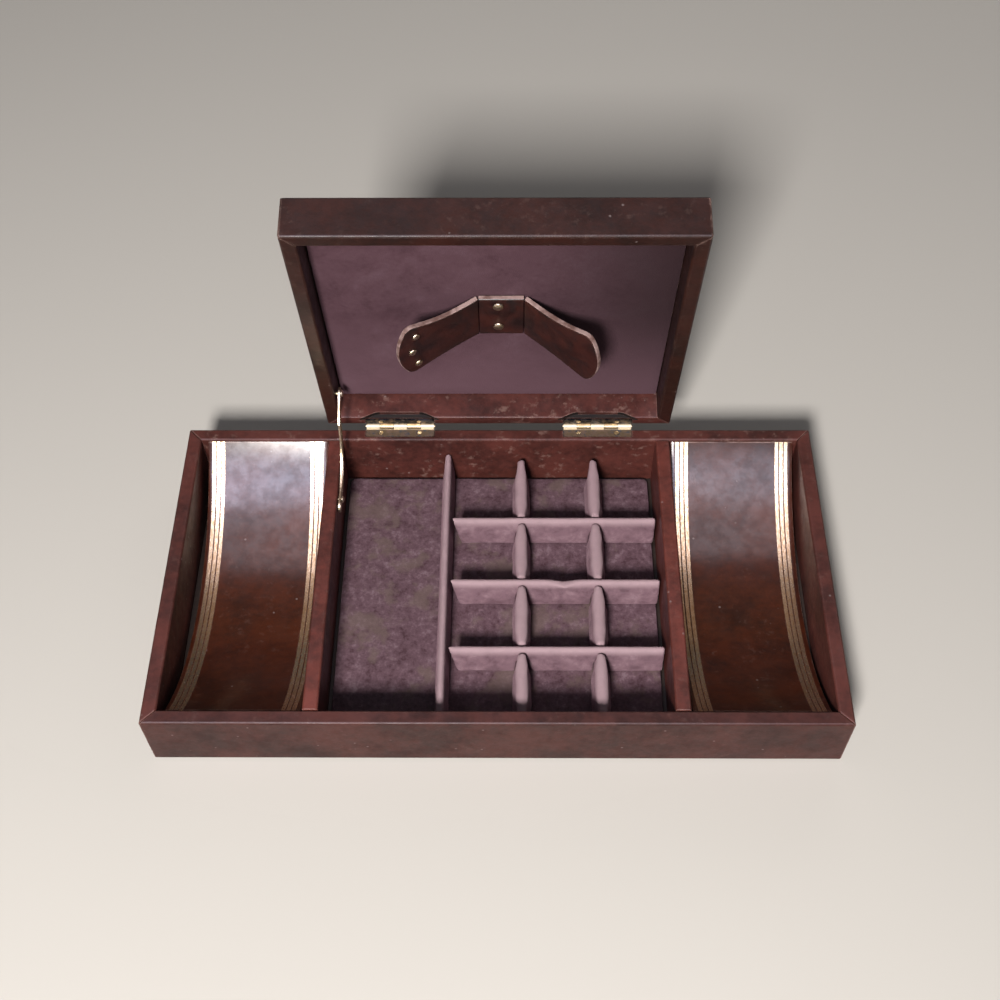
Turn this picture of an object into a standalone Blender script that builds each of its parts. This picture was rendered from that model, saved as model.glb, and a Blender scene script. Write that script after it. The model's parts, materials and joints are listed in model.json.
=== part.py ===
"""Valet box: an open base of leather-covered boards with two curved side troughs, a middle section with
a lift-out grid of cells, and a hinged lid that a slotted brass stay holds open.

Frame: X to the right, Y to the back, Z up. The origin is the middle of the underside.
The lid is modelled shut and then turned back about its hinge axis to the open position.
"""

import math

import bmesh
import bpy
from mathutils import Vector

# Base
BASE_LENGTH = 0.3560
BASE_DEPTH = 0.1864
BASE_HEIGHT = 0.0407
WALL_THICKNESS = 0.0078
EDGE_ROUND = 0.0011
FIT_GAP = 0.0003
CUTTER_OVERRUN = 0.0010

# Underside and floor
FELT_THICKNESS = 0.0010
FELT_INSET = 0.0040
BOTTOM_THICKNESS = 0.0028
PAD_THICKNESS = 0.0035
PAD_INSET = 0.0018
PAD_CORNER = 0.0040
PAD_ROUND = 0.0008

# Middle section
MIDDLE_WIDTH = 0.1948
PARTITION_THICKNESS = 0.0080

# Side troughs
TROUGH_THICKNESS = 0.0024
TROUGH_RIM_DROP = 0.0012
TROUGH_STEPS = 28
LEFT_TROUGH_INNER_GAP = 0.0003
LEFT_TROUGH_OUTER_GAP = 0.0037
RIGHT_TROUGH_INNER_GAP = 0.0008
RIGHT_TROUGH_OUTER_GAP = 0.0025

# Dividing strips, placed by shares of the middle section's inside: from its left side and from its front
STRIP_HEIGHT = 0.0200
STRIP_TOP_WIDTH = 0.0034
STRIP_FOOT_WIDTH = 0.0070
STRIP_NOTCH_PLAY = 0.0006
STRIP_CROWN_STEPS = 6
LONG_DIVIDER_SHARE = 0.3367
COLUMN_SHARES = (0.5721, 0.8037)
ROW_SHARES = (0.2494, 0.4924, 0.7307)
COLUMN_FRONT_GAP = 0.0030
COLUMN_BACK_GAP = 0.0046
ROW_LEFT_GAP = 0.0018
ROW_RIGHT_GAP = 0.0015
ROW_END_SLANT = 0.0045

# Lid
LID_OVERHANG = 0.0007
LID_HEIGHT = 0.0220
LID_PANEL_THICKNESS = 0.0062
LID_LINING_THICKNESS = 0.0015
LID_SHUT_GAP = 0.0008
LID_OPEN_DEGREES = 78.0

# Hinges
HINGE_LENGTH = 0.0390
HINGE_FROM_LID_SIDE = 0.0415
KNUCKLE_COUNT = 5
KNUCKLE_ROLL = 0.0002
KNUCKLE_GAP = 0.0003
KNUCKLE_CLEARANCE = 0.0004
HINGE_PIN_RADIUS = 0.0008
HINGE_PIN_PLAY = 0.00015
HINGE_PIN_END = 0.0004
LEAF_THICKNESS = 0.0010
LEAF_WIDTH = 0.0050
LEAF_CORNER = 0.0012
TAB_SKIN = 0.00004
TAB_REACH = 0.0015
SCREW_SPACING = 0.0220
SCREW_HEAD_RADIUS = 0.0013
SCREW_SINK = 0.0001
SCREW_CONE = 0.0008
SCREW_SHANK_RADIUS = 0.0006
SCREW_LENGTH = 0.0040
ROUND_STEPS = 16

# Lid stay
STAY_LID_PIN_FROM_AXIS = 0.0316
STAY_LID_PIN_ABOVE_RIM = 0.0041
STAY_BASE_PIN_FROM_AXIS = 0.0474
STAY_BASE_PIN_BELOW_RIM = 0.0055
STAY_WIDTH = 0.0070
STAY_THICKNESS = 0.0010
STAY_FROM_PARTITION = 0.0007
STAY_TAIL = 0.0085
STAY_PIN_RADIUS = 0.0010
STAY_PIN_PLAY = 0.0003
STAY_PIN_HEAD_RADIUS = 0.0022
STAY_PIN_HEAD_HEIGHT = 0.0013
STAY_PIN_DEPTH = 0.0040
STAY_PATH_STEPS = 16
STAY_NECK_STEPS = 6
STAY_CAP_STEPS = 8

# Leather keeper on the lining
STRAP_MIDDLE_X = 0.0022
STRAP_MIDDLE_Y = -0.0065
STRAP_PLATE_LENGTH = 0.0229
STRAP_THICKNESS = 0.0030
STRAP_WIDTH = 0.0332
STRAP_ROUND = 0.0006
WING_LENGTH = 0.0468
WING_END_WIDTH = 0.0440
WING_END_BOW = 0.0067
WING_CORNER = 0.0035
WING_SIDE_STEPS = 8
WING_END_STEPS = 10
LEFT_WING_DEGREES = 31.0
RIGHT_WING_DEGREES = 38.0

# Rivets of the keeper
PLATE_RIVET_X = -0.0016
PLATE_RIVET_Y = -0.0009
PLATE_RIVET_SPACING = 0.0190
PLATE_RIVET_RADIUS = 0.0029
PLATE_RIVET_HEIGHT = 0.0013
PLATE_RIVET_DEPTH = 0.0080
WING_RIVET_Y = 0.0007
WING_RIVET_SPACING = 0.0130
WING_RIVET_FROM_END = 0.0080
WING_RIVET_BOW = 0.0026
WING_RIVET_RADIUS = 0.0022
WING_RIVET_HEIGHT = 0.0010
RIVET_SHANK_SHARE = 0.45
RIVET_CAP_STEPS = 4
RIVET_STEPS = 14

# Sizes that follow from those above
INNER_DEPTH = BASE_DEPTH - 2 * WALL_THICKNESS
INNER_LENGTH = BASE_LENGTH - 2 * WALL_THICKNESS
WALL_FOOT = FELT_THICKNESS + FIT_GAP
BOTTOM_TOP = WALL_FOOT + BOTTOM_THICKNESS
PARTITION_FOOT = BOTTOM_TOP + FIT_GAP
PAD_TOP = PARTITION_FOOT + PAD_THICKNESS
STRIP_FOOT = PAD_TOP + FIT_GAP
PARTITION_OUTER_X = MIDDLE_WIDTH / 2
PARTITION_INNER_X = PARTITION_OUTER_X - PARTITION_THICKNESS
LID_WIDTH = MIDDLE_WIDTH + 2 * LID_OVERHANG
LID_RIM = BASE_HEIGHT + LID_SHUT_GAP
LID_TOP = LID_RIM + LID_HEIGHT
LID_PANEL_FOOT = LID_TOP - LID_PANEL_THICKNESS
LINING_FACE = LID_PANEL_FOOT - FIT_GAP - LID_LINING_THICKNESS
STRAP_BACK = LINING_FACE - FIT_GAP
STRAP_FACE = STRAP_BACK - STRAP_THICKNESS
KNUCKLE_RADIUS = LID_SHUT_GAP / 2 + LEAF_THICKNESS + KNUCKLE_ROLL
AXIS_BEHIND = KNUCKLE_RADIUS + KNUCKLE_CLEARANCE
HINGE_AXIS = Vector((0.0, BASE_DEPTH / 2 + AXIS_BEHIND, BASE_HEIGHT + LID_SHUT_GAP / 2))
HINGE_X = LID_WIDTH / 2 - HINGE_FROM_LID_SIDE
LID_TURN = -math.radians(LID_OPEN_DEGREES)
STAY_OUTER_X = STAY_FROM_PARTITION - PARTITION_INNER_X
STAY_INNER_X = STAY_OUTER_X + STAY_THICKNESS
WING_SIDE_LENGTH = WING_LENGTH - WING_END_BOW

COLOURS = {
    "leather": ((0.115, 0.030, 0.022, 1.0), 0.42, 0.0),
    "trough_leather": ((0.150, 0.042, 0.022, 1.0), 0.30, 0.0),
    "velvet": ((0.170, 0.085, 0.110, 1.0), 0.95, 0.0),
    "strip_velvet": ((0.300, 0.180, 0.210, 1.0), 0.95, 0.0),
    "strap_leather": ((0.055, 0.020, 0.014, 1.0), 0.45, 0.0),
    "board": ((0.230, 0.150, 0.090, 1.0), 0.80, 0.0),
    "felt": ((0.050, 0.030, 0.026, 1.0), 1.0, 0.0),
    "brass": ((0.780, 0.600, 0.300, 1.0), 0.30, 1.0),
}


# Helpers


def clear_scene():
    for obj in list(bpy.data.objects):
        bpy.data.objects.remove(obj, do_unlink=True)


def finish(name):
    """The Principled material of that name, made once."""
    material = bpy.data.materials.get(name)
    if material is None:
        colour, roughness, metallic = COLOURS[name]
        material = bpy.data.materials.new(name)
        material.use_nodes = True
        shader = material.node_tree.nodes["Principled BSDF"]
        shader.inputs["Base Color"].default_value = colour
        shader.inputs["Roughness"].default_value = roughness
        shader.inputs["Metallic"].default_value = metallic
    return material


def place(name, bm, material, location=(0.0, 0.0, 0.0), rotation=(0.0, 0.0, 0.0), parent=None):
    """Makes an object of a bmesh and puts it in its place, under its parent if it has one."""
    bmesh.ops.recalc_face_normals(bm, faces=bm.faces)
    mesh = bpy.data.meshes.new(name)
    bm.to_mesh(mesh)
    bm.free()
    mesh.materials.append(finish(material))
    mesh.shade_smooth()
    mesh.set_sharp_from_angle(angle=math.radians(35))
    obj = bpy.data.objects.new(name, mesh)
    obj.location = location
    obj.rotation_euler = rotation
    obj.parent = parent
    bpy.context.scene.collection.objects.link(obj)
    return obj


def pivot(name, location, rotation=(0.0, 0.0, 0.0), parent=None):
    """An empty on the axis of a moving piece."""
    empty = bpy.data.objects.new(name, None)
    empty.empty_display_size = HINGE_LENGTH
    empty.location = location
    empty.rotation_euler = rotation
    empty.parent = parent
    bpy.context.scene.collection.objects.link(empty)
    return empty


def tool(name, bm, location=(0.0, 0.0, 0.0), rotation=(0.0, 0.0, 0.0), parent=None):
    """A hidden helper that shapes another object."""
    obj = place(name, bm, "board", location, rotation, parent)
    obj.hide_render = True
    obj.display_type = "WIRE"
    return obj


def combine(obj, other, operation):
    modifier = obj.modifiers.new(other.name, "BOOLEAN")
    modifier.operation = operation
    modifier.solver = "EXACT"
    modifier.object = other


def block(low, high):
    """A box between two corners."""
    bm = bmesh.new()
    bmesh.ops.create_cube(bm, size=1.0)
    size = Vector(high) - Vector(low)
    bmesh.ops.scale(bm, vec=size, verts=bm.verts)
    bmesh.ops.translate(bm, vec=Vector(low) + size / 2, verts=bm.verts)
    return bm


def prism(points, axis, start, end):
    """A closed outline of (u, v) pairs drawn out along X, Y or Z from start to end."""
    bm = bmesh.new()
    corner = {
        "X": lambda u, v: (start, u, v),
        "Y": lambda u, v: (u, start, v),
        "Z": lambda u, v: (u, v, start),
    }[axis]
    way = {"X": Vector((1, 0, 0)), "Y": Vector((0, 1, 0)), "Z": Vector((0, 0, 1))}[axis]
    face = bm.faces.new([bm.verts.new(corner(u, v)) for u, v in points])
    drawn = bmesh.ops.extrude_face_region(bm, geom=[face])
    moved = [item for item in drawn["geom"] if isinstance(item, bmesh.types.BMVert)]
    bmesh.ops.translate(bm, vec=way * (end - start), verts=moved)
    return bm


def circle(radius, steps=ROUND_STEPS):
    turns = [2 * math.pi * i / steps for i in range(steps)]
    return [(radius * math.cos(turn), radius * math.sin(turn)) for turn in turns]


def round_edges(bm, chosen, radius, steps=2):
    """Rounds the edges that the test picks."""
    edges = [edge for edge in bm.edges if chosen(edge)]
    bmesh.ops.bevel(bm, geom=edges, offset=radius, segments=steps, profile=0.5, affect="EDGES", material=-1)
    return bm


def runs_along(edge, axis):
    """True where an edge lies along X (0), Y (1) or Z (2)."""
    run = edge.verts[1].co - edge.verts[0].co
    return abs(run[axis]) > 0.999 * run.length


def level(edge, axis):
    return (edge.verts[0].co[axis] + edge.verts[1].co[axis]) / 2


def turned(profile):
    """A solid of revolution about Z. The profile is (radius, height) pairs that start and end on the axis."""
    bm = bmesh.new()
    line = [bm.verts.new((radius, 0.0, height)) for radius, height in profile]
    edges = [bm.edges.new(pair) for pair in zip(line, line[1:])]
    bmesh.ops.spin(
        bm,
        geom=line + edges,
        axis=(0.0, 0.0, 1.0),
        cent=(0.0, 0.0, 0.0),
        steps=RIVET_STEPS,
        angle=2 * math.pi,
        use_merge=True,
    )
    bmesh.ops.remove_doubles(bm, verts=bm.verts, dist=FIT_GAP / 100)
    return bm


def domed_pin(radius, height, shank_radius, shank_length, seat):
    """A headed pin along Z: a domed head above the seat's gap and a straight shank below it."""
    turns = [math.pi / 2 * i / RIVET_CAP_STEPS for i in range(RIVET_CAP_STEPS + 1)]
    dome = [(radius * math.sin(turn), seat + height * math.cos(turn)) for turn in turns]
    return turned(dome + [(shank_radius, seat), (shank_radius, -shank_length), (0.0, -shank_length)])


def pin_hole(shank_radius, depth):
    """The hole of a pin along Z, wider and deeper than its shank by the fit gap."""
    radius = shank_radius + FIT_GAP
    foot = -depth - FIT_GAP
    return turned([(0.0, CUTTER_OVERRUN), (radius, CUTTER_OVERRUN), (radius, foot), (0.0, foot)])


# Base


def underside():
    """The felt that the box stands on, and the thin board between the walls above it."""
    x = BASE_LENGTH / 2 - FELT_INSET
    y = BASE_DEPTH / 2 - FELT_INSET
    place("base_felt", block((-x, -y, 0.0), (x, y, FELT_THICKNESS)), "felt")
    x = INNER_LENGTH / 2 - FIT_GAP
    y = INNER_DEPTH / 2 - FIT_GAP
    place("bottom_board", block((-x, -y, WALL_FOOT), (x, y, BOTTOM_TOP)), "board")


def wall_board(length, low, high):
    """A board along X, mitred at both ends, with its outer face at Y = 0 and its inner face behind it."""
    bm = block((-length / 2, 0.0, low), (length / 2, WALL_THICKNESS, high))
    for vert in bm.verts:
        vert.co.x -= math.copysign(vert.co.y + FIT_GAP / 2, vert.co.x)
    return bm


def box_sides(length, depth):
    """The four sides of a box: side, board length, middle of the outer face and turn about Z."""
    return (
        ("front", length, (0.0, -depth / 2), 0.0),
        ("back", length, (0.0, depth / 2), math.pi),
        ("left", depth, (-length / 2, 0.0), -math.pi / 2),
        ("right", depth, (length / 2, 0.0), math.pi / 2),
    )


def base_walls():
    """Four mitred walls with both long edges of the rim rounded. Returns them by side."""
    walls = {}
    for side, length, (x, y), turn in box_sides(BASE_LENGTH, BASE_DEPTH):
        bm = wall_board(length, WALL_FOOT, BASE_HEIGHT)
        round_edges(bm, lambda edge: runs_along(edge, 0) and level(edge, 2) > BASE_HEIGHT - FIT_GAP, EDGE_ROUND)
        walls[side] = place(f"{side}_wall", bm, "leather", (x, y, 0.0), (0.0, 0.0, turn))
    return walls


def partition(name, side):
    """A board between the middle section and a side tray, with its rim rounded."""
    inner = side * PARTITION_INNER_X
    outer = side * PARTITION_OUTER_X
    half = INNER_DEPTH / 2 - FIT_GAP
    bm = block((min(inner, outer), -half, PARTITION_FOOT), (max(inner, outer), half, BASE_HEIGHT))
    round_edges(bm, lambda edge: runs_along(edge, 1) and level(edge, 2) > BASE_HEIGHT - FIT_GAP, EDGE_ROUND)
    return place(name, bm, "leather")


def floor_pad():
    """Velvet-covered card on the middle section's floor, with round corners and a soft top edge."""
    x = PARTITION_INNER_X - PAD_INSET
    y = INNER_DEPTH / 2 - PAD_INSET
    bm = block((-x, -y, PARTITION_FOOT), (x, y, PAD_TOP))
    round_edges(bm, lambda edge: runs_along(edge, 2), PAD_CORNER, 4)
    round_edges(bm, lambda edge: min(vert.co.z for vert in edge.verts) > PAD_TOP - FIT_GAP, PAD_ROUND)
    place("floor_pad", bm, "velvet")


def trough(name, side, inner_gap, outer_gap):
    """A board bent to one arc, high at the back and front walls and lowest in the middle of the tray."""
    half = INNER_DEPTH / 2 - FIT_GAP
    lowest = PARTITION_FOOT + TROUGH_THICKNESS
    rise = BASE_HEIGHT - TROUGH_RIM_DROP - lowest
    radius = (half**2 + rise**2) / (2 * rise)
    centre = lowest + radius
    stations = [half * (2 * i / TROUGH_STEPS - 1) for i in range(TROUGH_STEPS + 1)]
    upper = [(y, centre - math.sqrt(radius**2 - y**2)) for y in stations]
    outer_radius = radius + TROUGH_THICKNESS
    lower = [(y, centre - math.sqrt(outer_radius**2 - y**2)) for y in reversed(stations)]
    inner_x = side * (PARTITION_OUTER_X + inner_gap)
    outer_x = side * (INNER_LENGTH / 2 - outer_gap)
    bm = prism(upper + lower, "X", min(inner_x, outer_x), max(inner_x, outer_x))
    place(name, bm, "trough_leather")


# Dividing strips


def strip_section():
    """Section of a folded velvet strip as (across, up): a half-round top and sides that spread to the foot."""
    radius = STRIP_TOP_WIDTH / 2
    crown = STRIP_HEIGHT - radius
    turns = [math.pi * i / STRIP_CROWN_STEPS for i in range(STRIP_CROWN_STEPS + 1)]
    arc = [(radius * math.cos(turn), crown + radius * math.sin(turn)) for turn in turns]
    return [(STRIP_FOOT_WIDTH / 2, 0.0)] + arc + [(-STRIP_FOOT_WIDTH / 2, 0.0)]


def strip_width_at(height):
    """Full width of a strip between its foot and its crown."""
    share = height / (STRIP_HEIGHT - STRIP_TOP_WIDTH / 2)
    return STRIP_FOOT_WIDTH + share * (STRIP_TOP_WIDTH - STRIP_FOOT_WIDTH)


def across_middle(share):
    """X at a share of the middle section's inside, from its left side."""
    return PARTITION_INNER_X * (2 * share - 1)


def along_middle(share):
    """Y at a share of the middle section's inside, from its front."""
    return INNER_DEPTH / 2 * (2 * share - 1)


def long_divider():
    """The fixed strip that parts the long compartment from the small cells."""
    half = INNER_DEPTH / 2 - FIT_GAP
    bm = prism(strip_section(), "Y", -half, half)
    place("long_divider", bm, "strip_velvet", (across_middle(LONG_DIVIDER_SHARE), 0.0, STRIP_FOOT))


def column_strip(index, x, grid):
    """A strip from front to back with notches from above, into which the rows drop."""
    front = COLUMN_FRONT_GAP - INNER_DEPTH / 2
    back = INNER_DEPTH / 2 - COLUMN_BACK_GAP
    bm = prism(strip_section(), "Y", front, back)
    strip = place(f"column_strip_{index}", bm, "strip_velvet", (x, 0.0, 0.0), parent=grid)
    lap = STRIP_HEIGHT / 2
    half = (strip_width_at(lap) + STRIP_NOTCH_PLAY) / 2
    for number, share in enumerate(ROW_SHARES, 1):
        low = (-STRIP_FOOT_WIDTH, -half, lap - FIT_GAP / 2)
        high = (STRIP_FOOT_WIDTH, half, STRIP_HEIGHT + CUTTER_OVERRUN)
        spot = (x, along_middle(share), 0.0)
        notch = tool(f"column_{index}_notch_{number}", block(low, high), spot, parent=grid)
        combine(strip, notch, "DIFFERENCE")


def row_strip(index, y, grid):
    """A strip from side to side with tapered notches from below and a slanted left end."""
    left = across_middle(LONG_DIVIDER_SHARE) + STRIP_TOP_WIDTH / 2 + ROW_LEFT_GAP
    right = PARTITION_INNER_X - ROW_RIGHT_GAP
    bm = prism(strip_section(), "X", left, right)
    for vert in bm.verts:
        if vert.co.x < (left + right) / 2:
            vert.co.x += ROW_END_SLANT * (1 - vert.co.z / STRIP_HEIGHT)
    strip = place(f"row_strip_{index}", bm, "strip_velvet", (0.0, y, 0.0), parent=grid)
    lap = STRIP_HEIGHT / 2 + FIT_GAP / 2
    foot = (STRIP_FOOT_WIDTH + STRIP_NOTCH_PLAY) / 2
    top = (strip_width_at(lap) + STRIP_NOTCH_PLAY) / 2
    right_side = [(foot, -CUTTER_OVERRUN), (foot, 0.0), (top, lap)]
    outline = right_side + [(-across, up) for across, up in reversed(right_side)]
    for number, share in enumerate(COLUMN_SHARES, 1):
        bm = prism(outline, "Y", -STRIP_FOOT_WIDTH, STRIP_FOOT_WIDTH)
        notch = tool(f"row_{index}_notch_{number}", bm, (across_middle(share), y, 0.0), parent=grid)
        combine(strip, notch, "DIFFERENCE")


def divider_grid():
    """Two columns and three rows, lapped at half height. The grid lies loose on the pad and lifts out."""
    grid = pivot("grid_pivot", (0.0, 0.0, STRIP_FOOT))
    for index, share in enumerate(COLUMN_SHARES, 1):
        column_strip(index, across_middle(share), grid)
    for index, share in enumerate(ROW_SHARES, 1):
        row_strip(index, along_middle(share), grid)


# Lid, placed as when shut and carried by an empty on the hinge axis


def from_axis(y, z):
    """A point of the shut box, measured from the hinge axis."""
    return y - HINGE_AXIS.y, z - HINGE_AXIS.z


def lid_walls(lid):
    """The lid's mitred skirts, with the outer edges and both edges of the rim rounded. Returns them by side."""
    low, high = LID_RIM - HINGE_AXIS.z, LID_TOP - HINGE_AXIS.z
    middle = (low + high) / 2
    walls = {}
    for side, length, (x, y), turn in box_sides(LID_WIDTH, BASE_DEPTH):
        bm = wall_board(length, low, high)
        rim_or_outside = lambda edge: level(edge, 2) < middle or level(edge, 1) < WALL_THICKNESS / 2
        round_edges(bm, lambda edge: runs_along(edge, 0) and rim_or_outside(edge), EDGE_ROUND)
        spot = (x, y - HINGE_AXIS.y, 0.0)
        walls[side] = place(f"lid_{side}_wall", bm, "leather", spot, (0.0, 0.0, turn), lid)
    return walls


def lid_board(name, foot, top, lid, material):
    """A flat board that fills the lid between its skirts."""
    x = LID_WIDTH / 2 - WALL_THICKNESS - FIT_GAP
    y = INNER_DEPTH / 2 - FIT_GAP
    bm = block((-x, *from_axis(-y, foot)), (x, *from_axis(y, top)))
    return place(name, bm, material, parent=lid)


# Hinges


def leaf_levels(part):
    """Lower and upper face of a leaf above the axis: the base's leaf lies under the shut gap, the lid's over it."""
    half_gap = LID_SHUT_GAP / 2
    if part == "base":
        return -half_gap - LEAF_THICKNESS, -half_gap
    return half_gap, half_gap + LEAF_THICKNESS


def leaf_recess(x, part):
    """The shallow recess that a leaf is let into, open to the rim and to the outer face."""
    low, high = leaf_levels(part)
    low -= FIT_GAP if part == "base" else CUTTER_OVERRUN
    high += CUTTER_OVERRUN if part == "base" else FIT_GAP
    half = HINGE_LENGTH / 2 + FIT_GAP
    front = -AXIS_BEHIND - LEAF_WIDTH - FIT_GAP
    return block((x - half, front, low), (x + half, CUTTER_OVERRUN - AXIS_BEHIND, high))


def knuckle_spans(part):
    """The stretches of a hinge's length that a leaf's knuckles fill. The base has the first and the last one."""
    pitch = HINGE_LENGTH / KNUCKLE_COUNT
    for i in range(0 if part == "base" else 1, KNUCKLE_COUNT, 2):
        start = i * pitch - HINGE_LENGTH / 2
        yield start + KNUCKLE_GAP / 2, start + pitch - KNUCKLE_GAP / 2


def knuckle_outline(part):
    """Section of a rolled knuckle and its tab as (y, z): most of a circle, then two lines into the plate."""
    up = -1 if part == "base" else 1
    near = LID_SHUT_GAP / 2 + TAB_SKIN
    far = LID_SHUT_GAP / 2 + LEAF_THICKNESS - TAB_SKIN
    start = math.pi - math.asin(near / KNUCKLE_RADIUS)
    end = 3 * math.pi - math.asin(far / KNUCKLE_RADIUS)
    turns = [start + (end - start) * i / ROUND_STEPS for i in range(ROUND_STEPS + 1)]
    roll = [(KNUCKLE_RADIUS * math.cos(turn), up * KNUCKLE_RADIUS * math.sin(turn)) for turn in turns]
    tab_end = -AXIS_BEHIND - TAB_REACH
    return [(tab_end, up * near)] + roll + [(tab_end, up * far)]


def screw_profile(grow):
    """Profile of a countersunk screw under a leaf's face, or of its hole, which is wider and deeper by grow."""
    head = SCREW_HEAD_RADIUS + grow
    shank = SCREW_SHANK_RADIUS + grow
    foot = -SCREW_LENGTH - grow
    top = [(0.0, CUTTER_OVERRUN), (head, CUTTER_OVERRUN)] if grow else [(0.0, -SCREW_SINK)]
    return top + [(head, -SCREW_SINK), (shank, -SCREW_SINK - SCREW_CONE), (shank, foot), (0.0, foot)]


def hinge_half(side, part, wall, location, parent):
    """One leaf let into its wall: a plate with round corners, rolled knuckles, and two countersunk screws."""
    side_name = "left" if side < 0 else "right"
    name = f"{side_name}_hinge_{part}_leaf"
    x = side * HINGE_X
    low, high = leaf_levels(part)
    front = -AXIS_BEHIND - LEAF_WIDTH
    bm = block((x - HINGE_LENGTH / 2, front, low), (x + HINGE_LENGTH / 2, -AXIS_BEHIND, high))
    round_edges(bm, lambda edge: runs_along(edge, 2) and level(edge, 1) < front + FIT_GAP, LEAF_CORNER, 3)
    plate = place(name, bm, "brass", location, parent=parent)
    recess = tool(f"{name}_recess", leaf_recess(x, part), location, parent=parent)
    combine(wall, recess, "DIFFERENCE")
    for number, (start, end) in enumerate(knuckle_spans(part), 1):
        bm = prism(knuckle_outline(part), "X", x + start, x + end)
        combine(plate, tool(f"{name}_knuckle_{number}", bm, location, parent=parent), "UNION")
    bore = prism(circle(HINGE_PIN_RADIUS + HINGE_PIN_PLAY), "X", x - HINGE_LENGTH, x + HINGE_LENGTH)
    combine(plate, tool(f"{name}_bore", bore, location, parent=parent), "DIFFERENCE")
    face = high if part == "base" else low
    facing = (0.0, 0.0, 0.0) if part == "base" else (math.pi, 0.0, 0.0)
    for number, way in enumerate((-1, 1), 1):
        spot = Vector(location) + Vector((x + way * SCREW_SPACING / 2, front + LEAF_WIDTH / 2, face))
        hole = tool(f"{name}_hole_{number}", turned(screw_profile(FIT_GAP)), spot, facing, parent)
        combine(plate, hole, "DIFFERENCE")
        combine(wall, hole, "DIFFERENCE")
        screw_name = f"{side_name}_{part}_leaf_screw_{number}"
        place(screw_name, turned(screw_profile(0.0)), "brass", spot, facing, parent)


def hinge(side, back_wall, lid, lid_back_wall):
    """A butt hinge: a leaf on the back wall, a leaf on the lid and a pin through the knuckles."""
    hinge_half(side, "base", back_wall, HINGE_AXIS, None)
    hinge_half(side, "lid", lid_back_wall, (0.0, 0.0, 0.0), lid)
    half = HINGE_LENGTH / 2 + HINGE_PIN_END
    pin = prism(circle(HINGE_PIN_RADIUS), "X", side * HINGE_X - half, side * HINGE_X + half)
    place("left_hinge_pin" if side < 0 else "right_hinge_pin", pin, "brass", HINGE_AXIS)


# Lid stay


def stay_pins():
    """(y, z) from the hinge axis of the lid's pin, with the lid shut, and of the base's pin."""
    lid_pin_z = LID_RIM + STAY_LID_PIN_ABOVE_RIM - HINGE_AXIS.z
    base_pin_z = BASE_HEIGHT - STAY_BASE_PIN_BELOW_RIM - HINGE_AXIS.z
    return Vector((-STAY_LID_PIN_FROM_AXIS, lid_pin_z)), Vector((-STAY_BASE_PIN_FROM_AXIS, base_pin_z))


def turn_pair(pair, angle):
    cos, sin = math.cos(angle), math.sin(angle)
    return Vector((cos * pair.x - sin * pair.y, sin * pair.x + cos * pair.y))


def stay_reach(lid_turn):
    """From the lid's pin to the base's pin with the lid turned by that angle from shut."""
    lid_pin, base_pin = stay_pins()
    return base_pin - turn_pair(lid_pin, lid_turn)


def stay_angles():
    """Direction of the arm, from +Y towards +Z, with the lid open and with the lid shut."""
    return tuple(math.atan2(reach.y, reach.x) for reach in (stay_reach(LID_TURN), stay_reach(0.0)))


def stay_path():
    """The slot's middle line in the arm's own frame, from shut to open.

    The arm turns at a steady rate as the lid shuts. Its slot is the way that the base's pin then takes past it,
    so that the pin slides freely, and meets the slot's far end when the lid is fully open.
    """
    open_angle, shut_angle = stay_angles()
    path = []
    for i in range(STAY_PATH_STEPS + 1):
        opened = i / STAY_PATH_STEPS
        arm_angle = shut_angle + (open_angle - shut_angle) * opened
        path.append(turn_pair(stay_reach(LID_TURN * opened), -arm_angle))
    return path


def stay_neck(path):
    """A smooth line from the lid's pin to the start of the slot."""
    end = path[0]
    start_out = Vector((end.length, 0.0))
    end_out = (path[1] - path[0]).normalized() * end.length
    neck = []
    for i in range(STAY_NECK_STEPS):
        t = i / STAY_NECK_STEPS
        bend = start_out * (t - 2 * t**2 + t**3) + end_out * (t**3 - t**2)
        neck.append(bend + end * (3 * t**2 - 2 * t**3))
    return neck


def band(line, half_width):
    """Outline of a strip of even width with round ends along a line."""
    runs = [(b - a).normalized() for a, b in zip(line, line[1:])]
    ways = [runs[0]] + [(a + b).normalized() for a, b in zip(runs, runs[1:])] + [runs[-1]]
    sides = [Vector((-way.y, way.x)) * half_width for way in ways]
    left = [point + side for point, side in zip(line, sides)]
    right = [point - side for point, side in zip(line, sides)]
    caps = [math.pi * i / STAY_CAP_STEPS for i in range(1, STAY_CAP_STEPS)]
    end_cap = [line[-1] + turn_pair(sides[-1], -turn) for turn in caps]
    start_cap = [line[0] - turn_pair(sides[0], -turn) for turn in caps]
    return left + end_cap + right[::-1] + start_cap


def stay_arm(lid):
    """The curved, slotted brass strip. It hangs on the lid's pin just inside the left partition."""
    lid_pin, _ = stay_pins()
    open_angle, _ = stay_angles()
    path = stay_path()
    tail = path[-1] + (path[-1] - path[-2]).normalized() * (STAY_TAIL - STAY_WIDTH / 2)
    arm_pivot = pivot("stay_pivot", (0.0, *lid_pin), (open_angle - LID_TURN, 0.0, 0.0), lid)
    bm = prism(band(stay_neck(path) + path + [tail], STAY_WIDTH / 2), "X", STAY_OUTER_X, STAY_INNER_X)
    arm = place("stay_arm", bm, "brass", parent=arm_pivot)
    clear = STAY_PIN_RADIUS + STAY_PIN_PLAY
    for name, outline in (("stay_slot", band(path, clear)), ("stay_eye", circle(clear))):
        bm = prism(outline, "X", STAY_OUTER_X - CUTTER_OVERRUN, STAY_INNER_X + CUTTER_OVERRUN)
        combine(arm, tool(name, bm, parent=arm_pivot), "DIFFERENCE")


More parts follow.
